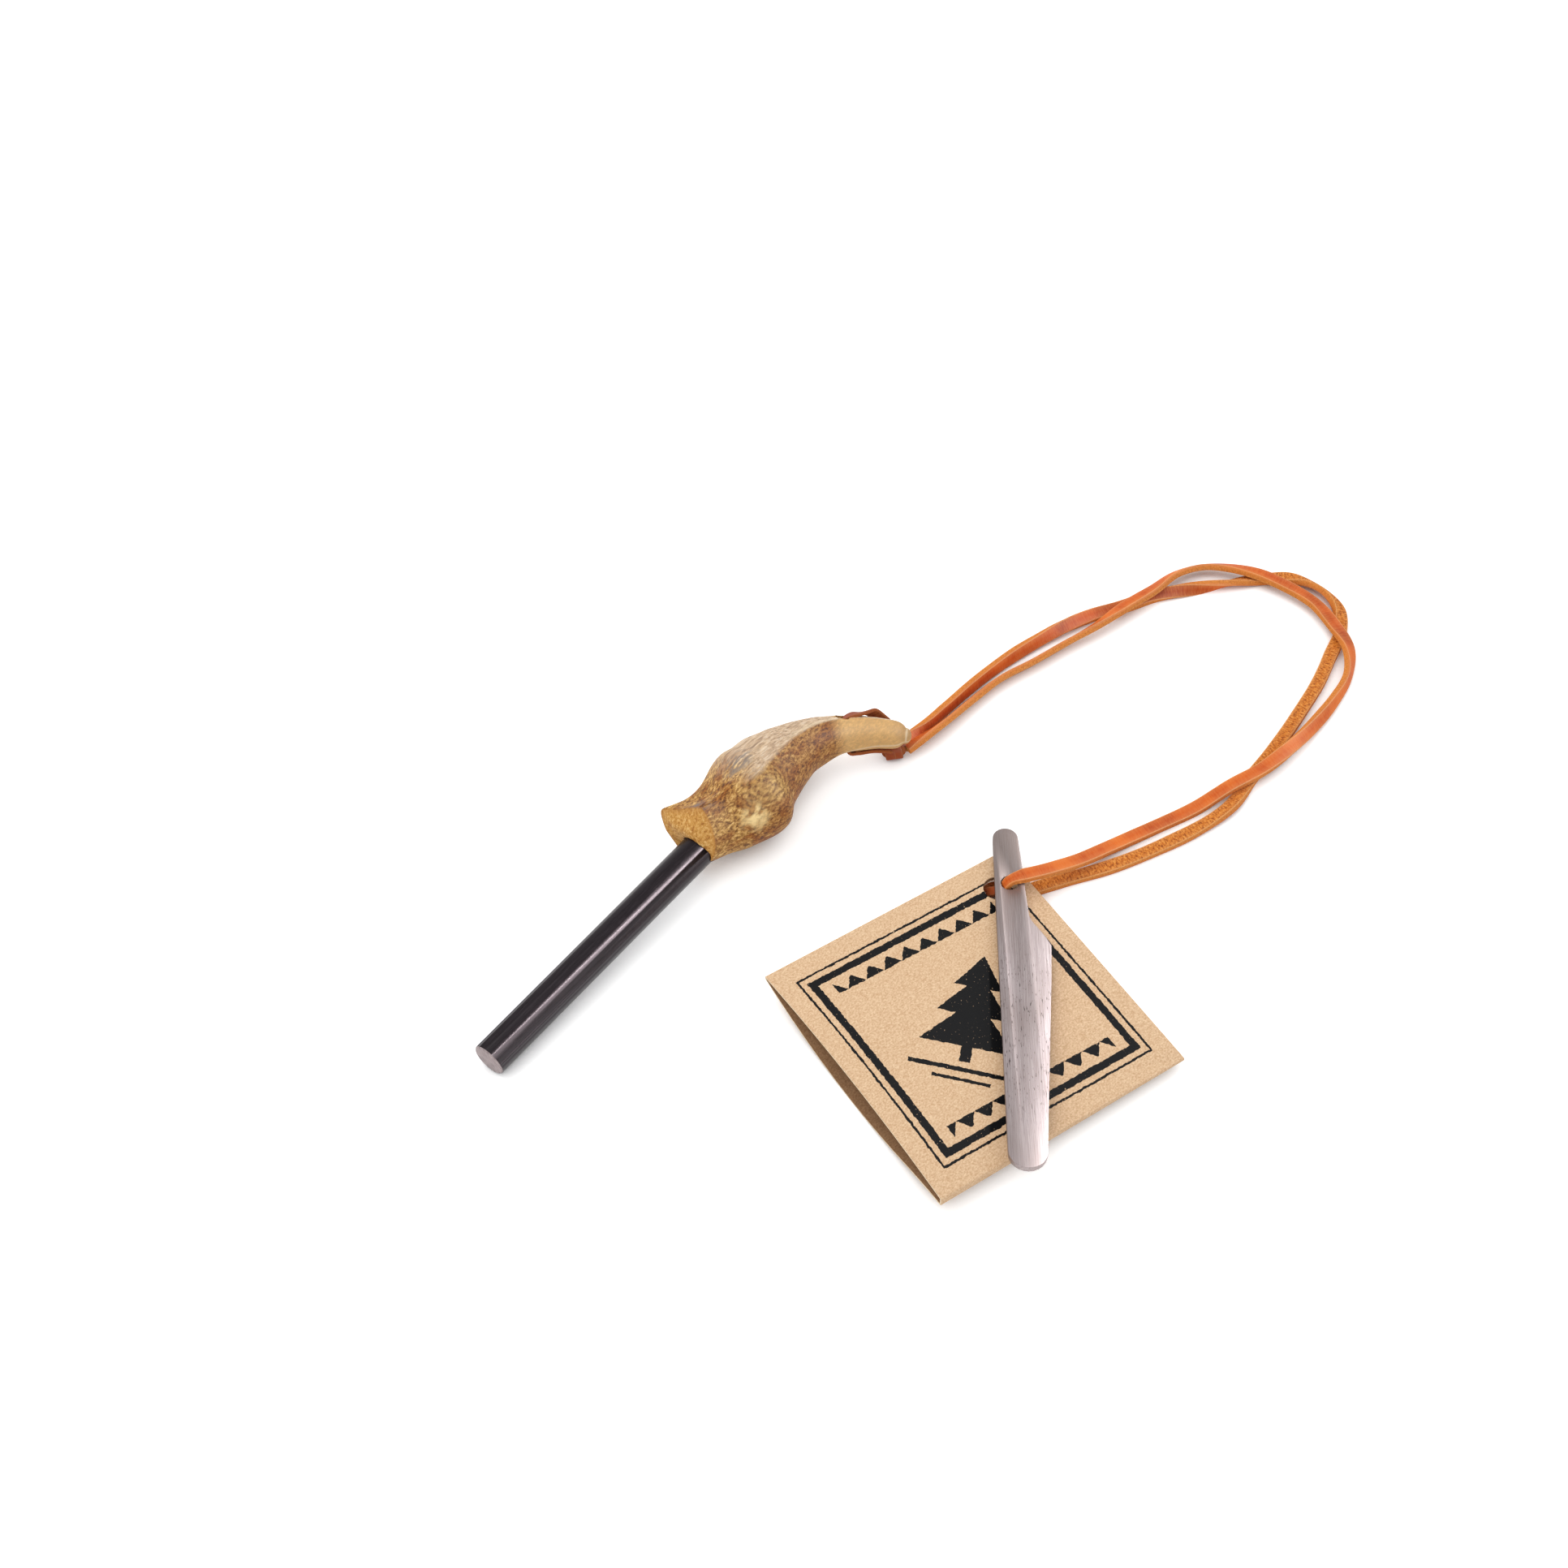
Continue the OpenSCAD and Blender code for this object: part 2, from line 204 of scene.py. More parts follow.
deselect()
bpy.ops.mesh.primitive_plane_add(size=6, location=AIM)
table = bpy.context.object
table.name = "table"
paper, tree = new_material("white_table")
lit = add(tree, "BsdfDiffuse", Color=[TABLE_WHITE] * 3 + [1])
lift = add(tree, "LightPath", out="Is Camera Ray")
mirrored = add(tree, "LightPath", out="Is Glossy Ray")
lift = add(tree, "Math", (lift, mirrored), operation="MAXIMUM")
lift = add(tree, "Math", (lift, TABLE_LIFT), operation="MULTIPLY")
sees_out = add(tree, "AmbientOcclusion", Distance=9 * MM, out="AO", samples=4)
sees_out = add(tree, "MapRange", Value=sees_out, From_Min=SHUT_IN[0], From_Max=SHUT_IN[1])
lift = add(tree, "Math", (lift, sees_out), operation="MULTIPLY")
glow = add(tree, "Emission", Color="#FFFFFF", Strength=lift)
both = add(tree, "AddShader", (lit, glow))
add(tree, "OutputMaterial", Surface=both)
table.data.materials.append(paper)
print("lamps:", overhead.name, strip.name, front.name)

# %% [markdown]
# ## A rolled skin
# The lace and the handle are long forms whose section changes on the way. A grid is such a form,
# unrolled: each of its rows becomes one ring of points round the piece. Then the seam is merged,
# and the grid's own UV map stays on it, with one direction round the piece and one along it.

# %% Roll a grid into a skin


def edit(piece):
    """Opens a piece in edit mode with nothing selected."""
    deselect()
    bpy.context.view_layer.objects.active = piece
    piece.select_set(True)
    bpy.ops.object.mode_set(mode="EDIT")
    bpy.ops.mesh.select_all(action="DESELECT")


def leave_edit():
    bpy.ops.object.mode_set(mode="OBJECT")


def mark(piece, name, values):
    """Stores one number for each vertex, which a material reads by its name."""
    layer = piece.data.attributes.new(name, "FLOAT", "POINT")
    layer.data.foreach_set("value", np.asarray(values, np.float32))


def rolled(name, rings, marks=None):
    """A closed skin over rings of points, an array of ring, point and x, y, z in metres."""
    rows, columns = rings.shape[:2]
    deselect()
    bpy.ops.mesh.primitive_grid_add(x_subdivisions=columns, y_subdivisions=rows - 1, size=1)
    piece = bpy.context.object
    piece.name = name
    piece.data.name = name
    closed = np.concatenate([rings, rings[:, :1]], axis=1)
    piece.location = (0, 0, 0)
    piece.data.vertices.foreach_set("co", closed.reshape(-1))
    for word, values in (marks or {}).items():
        mark(piece, word, np.concatenate([values, values[:, :1]], axis=1).reshape(-1))
    edit(piece)
    bpy.ops.mesh.select_all(action="SELECT")
    bpy.ops.mesh.remove_doubles(threshold=1e-6)
    bpy.ops.mesh.select_all(action="DESELECT")
    bpy.ops.mesh.select_mode(type="EDGE")
    bpy.ops.mesh.select_non_manifold()
    bpy.ops.mesh.fill_holes(sides=0)
    bpy.ops.mesh.select_all(action="SELECT")
    bpy.ops.mesh.normals_make_consistent(inside=False)
    leave_edit()
    print(name, "has", len(piece.data.polygons), "faces")
    return piece


def smooth(piece, degrees=35):
    """Smooth shading, with the edges above an angle kept sharp."""
    deselect()
    bpy.context.view_layer.objects.active = piece
    piece.select_set(True)
    bpy.ops.object.shade_smooth_by_angle(angle=math.radians(degrees))


def scale_uv(piece, across, along):
    """Gives the piece's UV map metres: round the piece in x, along it in y."""
    layer = piece.data.uv_layers[0]
    layer.name = "metres"
    flat = np.zeros(len(layer.data) * 2, np.float32)
    layer.data.foreach_get("uv", flat)
    flat[0::2] *= across
    flat[1::2] *= along
    layer.data.foreach_set("uv", flat)


# %% [markdown]
# ## The lace
# The lace is one strip, cut from a hide: 4 mm wide and 2 mm thick, smooth grain on one side and
# suede on the other. It is stiff for its size, so between the knot and the striker it stands on its
# edge in places and lies flat in others. Each run follows the points measured on the photograph,
# with the strip's roll at each, and a smooth curve goes through them.

# %% The lace's route and its section
LACE_WIDTH = 4 * MM
LACE_THICK = 2 * MM
LACE_STEP = 1.2 * MM
SECTION_POINTS = 20
CORNER_POWER = 0.22
CUT_WANDER = 0.13 * MM

UPPER_ROUTE = [
    (0.0795, 0.0445, 0.0028, -15),
    (0.083, 0.0435, 0.0032, -35),
    (0.087, 0.0425, 0.0036, -50),
    (0.095, 0.0415, 0.0032, -60),
    (0.106, 0.041, 0.0024, -60),
    (0.1185, 0.0395, 0.0024, -60),
    (0.13, 0.036, 0.0024, -60),
    (0.1415, 0.033, 0.0024, -60),
    (0.153, 0.0295, 0.003, -50),
    (0.164, 0.027, 0.004, -25),
    (0.1755, 0.0245, 0.0036, -30),
    (0.1865, 0.023, 0.0026, -50),
    (0.194, 0.0185, 0.0024, -50),
    (0.1985, 0.012, 0.0028, -35),
    (0.2015, 0.0035, 0.0036, -15),
    (0.203, -0.005, 0.0034, -10),
    (0.203, -0.016, 0.0032, -15),
    (0.199, -0.026, 0.0036, -5),
    (0.195, -0.0335, 0.0032, -30),
    (0.187, -0.039, 0.0024, -70),
    (0.175, -0.0415, 0.0024, -65),
    (0.163, -0.042, 0.0024, -50),
    (0.151, -0.0415, 0.003, -20),
    (0.14, -0.04, 0.0034, 0),
    (0.128, -0.036, 0.003, 0),
    (0.1175, -0.0325, 0.001, 0),
    (0.1045, -0.0275, 0.001, 0),
    (0.091, -0.0225, 0.0018, 0),
    (0.0765, -0.0185, 0.0054, 0),
    (0.0675, -0.0155, 0.0086, 0),
    (0.061, -0.0118, 0.0094, 0),
]
LOWER_ROUTE = [
    (0.0795, 0.046, 0.0026, -170),
    (0.0835, 0.046, 0.0026, -150),
    (0.0885, 0.0455, 0.0026, -115),
    (0.0985, 0.045, 0.0026, -102),
    (0.1105, 0.0445, 0.0024, -102),
    (0.124, 0.043, 0.0022, -108),
    (0.136, 0.0405, 0.0022, -120),
    (0.147, 0.0375, 0.002, -145),
    (0.1575, 0.0335, 0.0014, -165),
    (0.1665, 0.0285, 0.001, -180),
    (0.1755, 0.024, 0.001, -170),
    (0.1815, 0.0195, 0.0014, -140),
    (0.188, 0.014, 0.0016, -95),
    (0.1965, 0.0075, 0.0014, -40),
    (0.204, 0.001, 0.001, -5),
    (0.208, -0.004, 0.0014, -10),
    (0.2095, -0.0095, 0.002, -40),
    (0.2095, -0.016, 0.0022, -50),
    (0.207, -0.0225, 0.0018, -30),
    (0.2025, -0.0265, 0.001, 0),
    (0.189, -0.031, 0.001, 0),
    (0.18, -0.0335, 0.001, 0),
    (0.168, -0.0355, 0.001, 0),
    (0.157, -0.037, 0.001, 0),
    (0.146, -0.038, 0.001, 0),
    (0.137, -0.0385, 0.001, 0),
    (0.1245, -0.04, 0.0016, 20),
    (0.111, -0.037, 0.0012, 5),
    (0.098, -0.032, 0.001, 0),
    (0.085, -0.026, 0.001, 0),
    (0.0725, -0.0185, 0.001, 0),
    (0.061, -0.0118, 0.001, 0),
]


def smooth_path(points, step):
    """Rows spaced evenly along a smooth curve through the given rows."""
    rows = np.array(points, float)
    gaps = np.linalg.norm(np.diff(rows[:, :3], axis=0), axis=1)
    at = np.concatenate([[0], np.cumsum(gaps)])
    slopes = np.gradient(rows, at, axis=0)
    wanted = np.linspace(0, at[-1], max(2, round(at[-1] / step)))
    i = np.clip(np.searchsorted(at, wanted, side="right") - 1, 0, len(gaps) - 1)
    h = gaps[i][:, None]
    t = (wanted[:, None] - at[i][:, None]) / h
    curve = (2 * t**3 - 3 * t**2 + 1) * rows[i] + (t**3 - 2 * t**2 + t) * h * slopes[i]
    curve += (3 * t**2 - 2 * t**3) * rows[i + 1] + (t**3 - t**2) * h * slopes[i + 1]
    return curve


def unit(rows):
    return rows / np.linalg.norm(rows, axis=-1, keepdims=True)


def faces_from_roll(places, rolls):
    """The way that the strip's flat side faces: up, then rolled about the run."""
    run = unit(np.gradient(places, axis=0))
    level = unit(np.cross([0, 0, 1], run))
    turn = np.radians(rolls)[:, None]
    return np.cross(run, level) * np.cos(turn) - level * np.sin(turn)


def section(width, thick):
    """A strip's section: a rectangle with soft corners, as points across and through the strip."""
    turn = 2 * math.pi * np.arange(SECTION_POINTS) / SECTION_POINTS
    across = np.sign(np.cos(turn)) * np.abs(np.cos(turn)) ** CORNER_POWER
    through = np.sign(np.sin(turn)) * np.abs(np.sin(turn)) ** CORNER_POWER
    return across * width / 2, through * thick / 2


def strip(name, places, faces, widths, thick, grain_up=1, darkening=0.0, seed=0.0):
    """A leather strip along places. grain_up is 1 where its smooth side is the facing one, or -1."""
    run = unit(np.gradient(places, axis=0))
    side = unit(np.cross(run, faces))
    face = np.cross(side, run)
    turn = 2 * math.pi * np.arange(SECTION_POINTS) / SECTION_POINTS
    corner_here = np.abs(np.sin(2 * turn)) ** 3
    rings, grain = [], []
    for i, place in enumerate(places):
        wander = noise.noise(Vector((i * 0.11, seed, 0))) * CUT_WANDER
        ragged = noise.noise(Vector((i * 0.7, seed, 5))) * CUT_WANDER * 0.5
        across, through = section(widths[i] + wander * 2 + ragged, thick + wander)
        across = across + wander * 0.5
        rings.append(place + across[:, None] * side[i] + through[:, None] * face[i])
        grain.append(0.5 + 0.5 * grain_up * through / (thick / 2))
    rings = np.array(rings)
    rings[:, :, 2] = np.maximum(rings[:, :, 2], 0)
    start = rings[:1].mean(axis=1, keepdims=True)
    end = rings[-1:].mean(axis=1, keepdims=True)
    rings = np.concatenate([start + (rings[:1] - start) * 1e-4, rings, end + (rings[-1:] - end) * 1e-4])
    grain = np.array([grain[0]] + grain + [grain[-1]])
    corner = np.tile(corner_here, (len(grain), 1))
    darkening_rows = np.full(len(places), darkening)[[0] + list(range(len(places))) + [-1]]
    darkening_rows = np.repeat(darkening_rows[:, None], grain.shape[1], axis=1)
    piece = rolled(name, rings, {"grain": grain, "darkening": darkening_rows, "corner": corner})
    length = float(np.linalg.norm(np.diff(places, axis=0), axis=1).sum())
    scale_uv(piece, 2 * (np.mean(widths) + thick), length)
    smooth(piece)
    return piece, length


def free_run(name, route, grain_up, seed):
    """One of the lace's runs on the table."""
    rows = smooth_path(route, LACE_STEP)
    places = rows[:, :3]
    widths = np.full(len(places), LACE_WIDTH)
    faces = faces_from_roll(places, rows[:, 3])
    piece, length = strip(name, places, faces, widths, LACE_THICK, grain_up, 0.0, seed)
    print(name, "is", round(length, 4), "m long")
    return piece, places, length


upper_run, upper_places, upper_length = free_run("upper_run", UPPER_ROUTE, 1, 1.0)
lower_run, lower_places, lower_length = free_run("lower_run", LOWER_ROUTE, -1, 7.0)

# %% [markdown]
# Between the two runs the strip goes down through the striker's hole and the card's hole. It is
# drawn narrow there, because the striker's hole is only a little wider than the strip. Under the
# card's hole it lies slack, painted darker as shade where it lies low, and that slack is what shows
# through the hole.

# %% The fold through the two holes
EYE = np.array([57.5, -9.8, 0]) * MM
FOLD_TURN = math.radians(-30)
FOLD_WIDTH = 2.7 * MM
FOLD_X = -1.1 * MM
RUN_HEIGHTS = (1 * MM, 9.4 * MM)
HIGH_BEND = 2.6 * MM
FOLD_END = 4.5 * MM
SLACK = [
    (4.5, -0.4, 1.0), (2.4, 1.3, 1.0), (0.4, 2.9, 1.0), (-2.0, 3.9, 1.0), (-4.0, 3.7, 1.3),
    (-4.7, 2.8, 2.0), (-4.0, 1.9, 3.0), (-2.6, 0.9, 4.0), (-1.5, 0.15, 4.8), (-1.1, 0.0, 5.7),
]


def turned(rows, angle, origin):
    """Rows of points turned about the vertical and moved to an origin."""
    c, s = math.cos(angle), math.sin(angle)
    x, y, z = rows[:, 0], rows[:, 1], rows[:, 2]
    return np.stack([c * x - s * y, s * x + c * y, z], axis=1) + origin


high = np.radians(np.arange(180, 89, -10))
high_bend = [(FOLD_X + HIGH_BEND * (1 + math.cos(a)), 0, RUN_HEIGHTS[1] - HIGH_BEND * (1 - math.sin(a)))
             for a in high]
slack_line = [tuple(x * MM for x in place) for place in SLACK]
fold_line = slack_line + high_bend + [(FOLD_END, 0, RUN_HEIGHTS[1])]
fold_line = smooth_path(fold_line, 0.5 * MM)
wide_low = np.clip((2.2 * MM - fold_line[:, 2]) / (0.8 * MM), 0, 1)
narrow = np.maximum(wide_low, np.clip((fold_line[:, 0] - 0.5 * MM) / (3.5 * MM), 0, 1))
fold_widths = FOLD_WIDTH + (LACE_WIDTH - FOLD_WIDTH) * narrow
# Painted shade: the fold is darkened where it lies low, under the card and in the holes.
low_painted_shade = np.clip((7.5 * MM - fold_line[:, 2]) / (2 * MM), 0, 1)
fold_run = unit(np.gradient(fold_line, axis=0))
fold_faces = unit(np.cross(fold_run, [0, 1, 0]))
fold_places = turned(fold_line, FOLD_TURN, EYE)
fold_faces = turned(fold_faces, FOLD_TURN, 0)
lace_fold, fold_length = strip(
    "fold", fold_places, fold_faces, fold_widths, LACE_THICK, 1, low_painted_shade, 3.0)

# %% [markdown]
# At the other end the strip goes through the hole in the handle's tail, round its far side, and
# both parts meet in the knot underneath. The turn is one more swept strip, in the tail's own frame.

# %% The turn round the tail
TAIL_AT = np.array([67.64, 56.1, 11.4]) * MM
TAIL_LEAN = math.radians(-38)
TAIL_TURN = math.radians(-40)
HITCH_THICK = 1.0 * MM
HITCH_ROUTE = [
    ((11.5, 3.6, -7.2), (0, 0.3, -0.95)),
    ((8.5, 2.2, -6.2), (0, 0.2, -0.98)),
    ((5, 1.2, -5.8), (0, 0, -1)),
    ((1, 0.8, -5.7), (0, 0, -1)),
    ((-1.2, 0.2, -5), (-0.8, 0, -0.6)),
    ((-1.5, 0, 0), (-1, 0, 0)),
    ((-1.2, 0, 5), (-0.8, 0, 0.6)),
    ((1, 0.3, 5.7), (0, 0, 1)),
    ((4, 1.2, 5.6), (0, 0.2, 0.98)),
    ((7, 3.4, 5.1), (0, 0.55, 0.83)),
    ((10, 5, 2), (0, 0.88, 0.47)),
    ((12.3, 5.2, -1.5), (0, 1, 0)),
    ((13, 5.4, -4.4), (0, 0.96, -0.28)),
    ((13, 4.6, -7), (0, 0.8, -0.6)),
]


def in_tail(rows):
    """From the tail's frame to the whole set's, without the move to the tail's place."""
    c, s = math.cos(TAIL_LEAN), math.sin(TAIL_LEAN)
    x, y, z = rows[:, 0], rows[:, 1], rows[:, 2]
    leaned = np.stack([x, c * y - s * z, s * y + c * z], axis=1)
    return turned(leaned, TAIL_TURN, 0)


hitch_rows = [[x * MM for x in place] + list(face) for place, face in HITCH_ROUTE]
hitch_line = smooth_path(hitch_rows, 0.6 * MM)
hitch_places = in_tail(hitch_line[:, :3]) + TAIL_AT
hitch_faces = in_tail(unit(hitch_line[:, 3:]))
hitch_widths = np.full(len(hitch_places), LACE_WIDTH)
hitch, hitch_length = strip(
    "tail_turn", hitch_places, hitch_faces, hitch_widths, HITCH_THICK, 1, 1.0, 11.0)
print("turn round the tail:", round(hitch_length / MM, 1), "mm of lace")

# %% [markdown]
# The knot is the strip wound twice round itself and pulled tight. A short helix of strip over a
# soft core gives its turns, with both of its ends drawn in towards the core.

# %% The knot
KNOT_AT = np.array([76.4, 46.8, 2.7]) * MM
KNOT_LENGTH = 7.5 * MM
KNOT_TURNS = 2.2
KNOT_STRIP = (2.9 * MM, 1.1 * MM)
KNOT_RADIUS = 1.95 * MM
CORE_RADIUS = 1.8 * MM

share = np.linspace(0, 1, 70)
round_by = 2 * math.pi * KNOT_TURNS * share
tuck = np.clip(np.minimum(share, 1 - share) / 0.10, 0, 1) ** 0.5
radius = KNOT_RADIUS * (0.55 + 0.45 * tuck)
out = np.stack([np.zeros_like(share), np.cos(round_by), np.sin(round_by)], axis=1)
lay = np.stack([(share - 0.5) * (KNOT_LENGTH - KNOT_STRIP[0]), 0 * share, 0 * share], axis=1)
knot_places = turned(lay + out * radius[:, None], TAIL_TURN, KNOT_AT)
knot_faces = turned(out, TAIL_TURN, 0)
knot, knot_length = strip("knot", knot_places, knot_faces,
                          np.full(len(share), KNOT_STRIP[0]), KNOT_STRIP[1], 1, 1.0, 17.0)

reach = np.linspace(-1, 1, 24)
core_line = np.stack([reach * KNOT_LENGTH * 0.47, 0 * reach, 0 * reach], axis=1)
core_sizes = 2 * CORE_RADIUS * np.sqrt(1 - (reach * 0.97) ** 4)
core_rings = []
for place, size in zip(core_line, core_sizes):
    turn = 2 * math.pi * np.arange(SECTION_POINTS) / SECTION_POINTS
    ring = np.stack([0 * turn, np.cos(turn), np.sin(turn)], axis=1) * size / 2
    core_rings.append(turned(place + ring, TAIL_TURN, KNOT_AT))
core_rings = np.array(core_rings)
core = rolled("knot_core", core_rings, {
    "grain": np.full(core_rings.shape[:2], 0.4), "darkening": np.full(core_rings.shape[:2], 1.0),
    "corner": np.zeros(core_rings.shape[:2])})
scale_uv(core, 2 * math.pi * CORE_RADIUS, KNOT_LENGTH)
smooth(core)
deselect()
core.select_set(True)
knot.select_set(True)
bpy.context.view_layer.objects.active = knot
bpy.ops.object.join()
print("knot has", len(knot.data.polygons), "faces")

# %% [markdown]
# Each run starts at the knot and goes back into the set at the fold, and all the pieces of lace
# ride with the handle, with their solids hidden.

for piece, node in ((upper_run, "lace_upper"), (lower_run, "lace_lower"), (lace_fold, "lace_fold"),
                    (hitch, "lace_hitch"), (knot, "lace_knot")):
    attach(piece, "rod_and_handle")
    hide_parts(node)

# %% [markdown]
# ## Leather
# The lace is vegetable tanned cowhide, dyed a rust orange. Its grain side is smooth with fine
# creases, its flesh side is a short suede with light and dark fibres, and the cut edges are paler.
# The strip carries the share of grain on each vertex, so that one material shows all three.

# %% Suede leather


def tanned_leather():
    material, tree = new_material("tanned_leather")
    grain = add(tree, "Attribute", attribute_name="grain", out="Fac")
    darkening = add(tree, "Attribute", attribute_name="darkening", out="Fac")
    corner = add(tree, "Attribute", attribute_name="corner", out="Fac")
    fibre_at = millimetres(tree, (0.42, 0.6, 0.4), uv="metres")
    fibre = add(tree, "TexNoise", Vector=fibre_at, Scale=1.0, Detail=3.0, Roughness=0.7)
    patch_at = millimetres(tree, (6, 14, 6), uv="metres")
    patch = add(tree, "TexNoise", Vector=patch_at, Scale=1.0, Detail=2.0)
    crease_at = millimetres(tree, (1.2, 0.45, 0.9), uv="metres")
    crease = add(tree, "TexNoise", Vector=crease_at, Scale=1.0, Detail=2.0)
    suede = add(tree, "ValToRGB", Fac=fibre, stops=[
        (0.36, "#8A4416"), (0.45, "#BF6722"), (0.55, "#D98231"), (0.68, "#EBA450")])
    smooth_side = add(tree, "ValToRGB", Fac=patch, stops=[
        (0.34, "#A8400C"), (0.50, "#CB5410"), (0.66, "#E26D1B")])
    worn = add(tree, "MapRange", Value=crease, From_Min=0.38, From_Max=0.7, To_Max=0.3)
    smooth_side = add(tree, "Mix", data_type="RGBA", Factor=worn, A=smooth_side, B="#E8893F")
    side = add(tree, "MapRange", Value=grain, From_Min=0.55, From_Max=0.85)
    colour = add(tree, "Mix", data_type="RGBA", Factor=side, A=suede, B=smooth_side)
    from_middle = add(tree, "Math", (grain, 0.5), operation="SUBTRACT")
    from_middle = add(tree, "Math", (from_middle,), operation="ABSOLUTE")
    cut = add(tree, "MapRange", Value=from_middle, From_Min=0.46, From_Max=0.34, To_Max=0.55)
    colour = add(tree, "Mix", data_type="RGBA", Factor=cut, A=colour, B="#D9853E")
    frayed = add(tree, "MapRange", Value=fibre, From_Min=0.35, From_Max=0.6, To_Min=0.35, To_Max=0.9)
    frayed = add(tree, "Math", (frayed, corner), operation="MULTIPLY")
    colour = add(tree, "Mix", data_type="RGBA", Factor=frayed, A=colour, B="#EFB473")
    # The darkening mark paints shade on the fold where it lies low under the card, and darkens the knot and
    # the turn round the tail all over.
    dark = add(tree, "MapRange", Value=darkening, To_Max=0.75)
    colour = add(tree, "Mix", data_type="RGBA", Factor=dark, A=colour, B="#7A3317")
    rough = add(tree, "MapRange", Value=side, To_Min=0.95, To_Max=0.55)
    height = add(tree, "Math", (fibre, crease), operation="ADD")
    bump = add(tree, "Bump", Strength=0.55, Distance=0.15 * MM, Height=height)
    shader = add(tree, "BsdfPrincipled", Base_Color=colour, Roughness=rough, Normal=bump,
                 Specular_IOR_Level=0.15)
    add(tree, "OutputMaterial", Surface=shader)
    return material


def dress(piece, *materials):
    """Puts materials on a piece, in the order of its slots."""
    piece.data.materials.clear()
    for material in materials:
        piece.data.materials.append(material)


leather = tanned_leather()
for piece in (upper_run, lower_run, lace_fold, hitch, knot):
    dress(piece, leather)
print("leather on 5 pieces")

# %% [markdown]
# ## The handle
# The handle was carved from a curly piece of birch root. A ridge runs along its back, the belly
# swells below it, the tail is drawn out to one side, and a flat was cut at the mouth. It is lofted
# from the same stations as the solid, with finer rings, and its ridge is cut a little crisper.

# %% The handle's stations
MOUTH = np.array([8, 63.6, 0]) * MM
ROD_RADIUS = 5 * MM
ROD_SHOW = 86 * MM
ROD_SLOPE = math.radians(3.5)
SOCKET_RADIUS = 5.15 * MM
SOCKET_DEPTH = 19 * MM
HANDLE_LENGTH = 71 * MM
BELLY = (29 * MM, 27 * MM)
TAIL = (9.5 * MM, 9.5 * MM)
TAIL_BEND = 21 * MM
TAIL_RISE = 10.5 * MM
TAIL_HOLE_RADIUS = 2.5 * MM
TAIL_HOLE_X = -1.5 * MM
STATIONS = [
    (0.00, 0.21, 0.10, 0.41, 0.27, 0, 1.0, 20),
    (0.09, 0.105, 0.17, 0.45, 0.24, 0, 0.8, 18),
    (0.19, 0.01, 0.07, 0.30, 0.12, 0, 0.4, 10),
    (0.33, 0, 0, 0.02, 0.00, 2, 0, 0),
    (0.41, 0.055, 0.06, 0.19, 0.12, 3, 0, 0),
    (0.49, 0.076, 0.07, 0.33, 0.20, 4, 0, 0),
    (0.64, 0.02, 0.30, 0.64, 0.52, -4, 0, 0),
    (0.79, -0.21, 0.56, 0.90, 0.80, -22, 0, 0),
    (0.90, -0.533, 0.76, 1.00, 0.96, -34, 0, 0),
    (0.965, -0.82, 0.86, 1.08, 1.06, -40, 0, 0),
    (0.985, -0.924, 0.93, 1.25, 1.25, -40, 0, 0),
]
BELLY_OUTLINE = [(-0.24, 0.99), (-0.84, 0.60), (-1.02, 0.03), (-0.75, -0.67),
                 (0.00, -1.00), (0.72, -0.66), (0.99, 0.10), (0.60, 0.78)]
MOUTH_OUTLINE = [(-0.24, 0.98), (-0.80, 0.50), (-0.98, -0.05), (-0.72, -0.60),
                 (-0.20, -0.95), (0.42, -0.52), (1.00, 0.16), (0.44, 0.54)]
SIDES = 96
RINGS = 90
mouth_z = ROD_RADIUS * math.cos(ROD_SLOPE) + ROD_SHOW * math.sin(ROD_SLOPE)


def ease(x, low, high):
    """0 at low, 1 at high and a smooth change between."""
    t = np.clip((x - low) / (high - low), 0, 1)
    return t * t * (3 - 2 * t)


def blend(p, q, r, s, t):
    """A smooth curve from q to r, with p before and s after them."""
    return 0.5 * (2 * q + (r - p) * t + (2 * p - 5 * q + 4 * r - s) * t**2
                  + (3 * q - p - 3 * r + s) * t**3)


def along(rows, u):
    rows = np.array(rows, float)
    i = min(len(rows) - 2, int(u))
    pick = [rows[max(0, min(len(rows) - 1, i + k))] for k in (-1, 0, 1, 2)]
    return blend(*pick, u - i)


def on_outline(outline, v, crisp):
    """A point of an outline. crisp moves it from the smooth curve to the straight chord."""
    rows = np.array(outline, float)
    i = int(v)
    pick = [rows[(i + k) % len(rows)] for k in (-1, 0, 1, 2)]
    chord = pick[1] + (pick[2] - pick[1]) * (v - i)
    return blend(*pick, v - i) * (1 - crisp) + chord * crisp


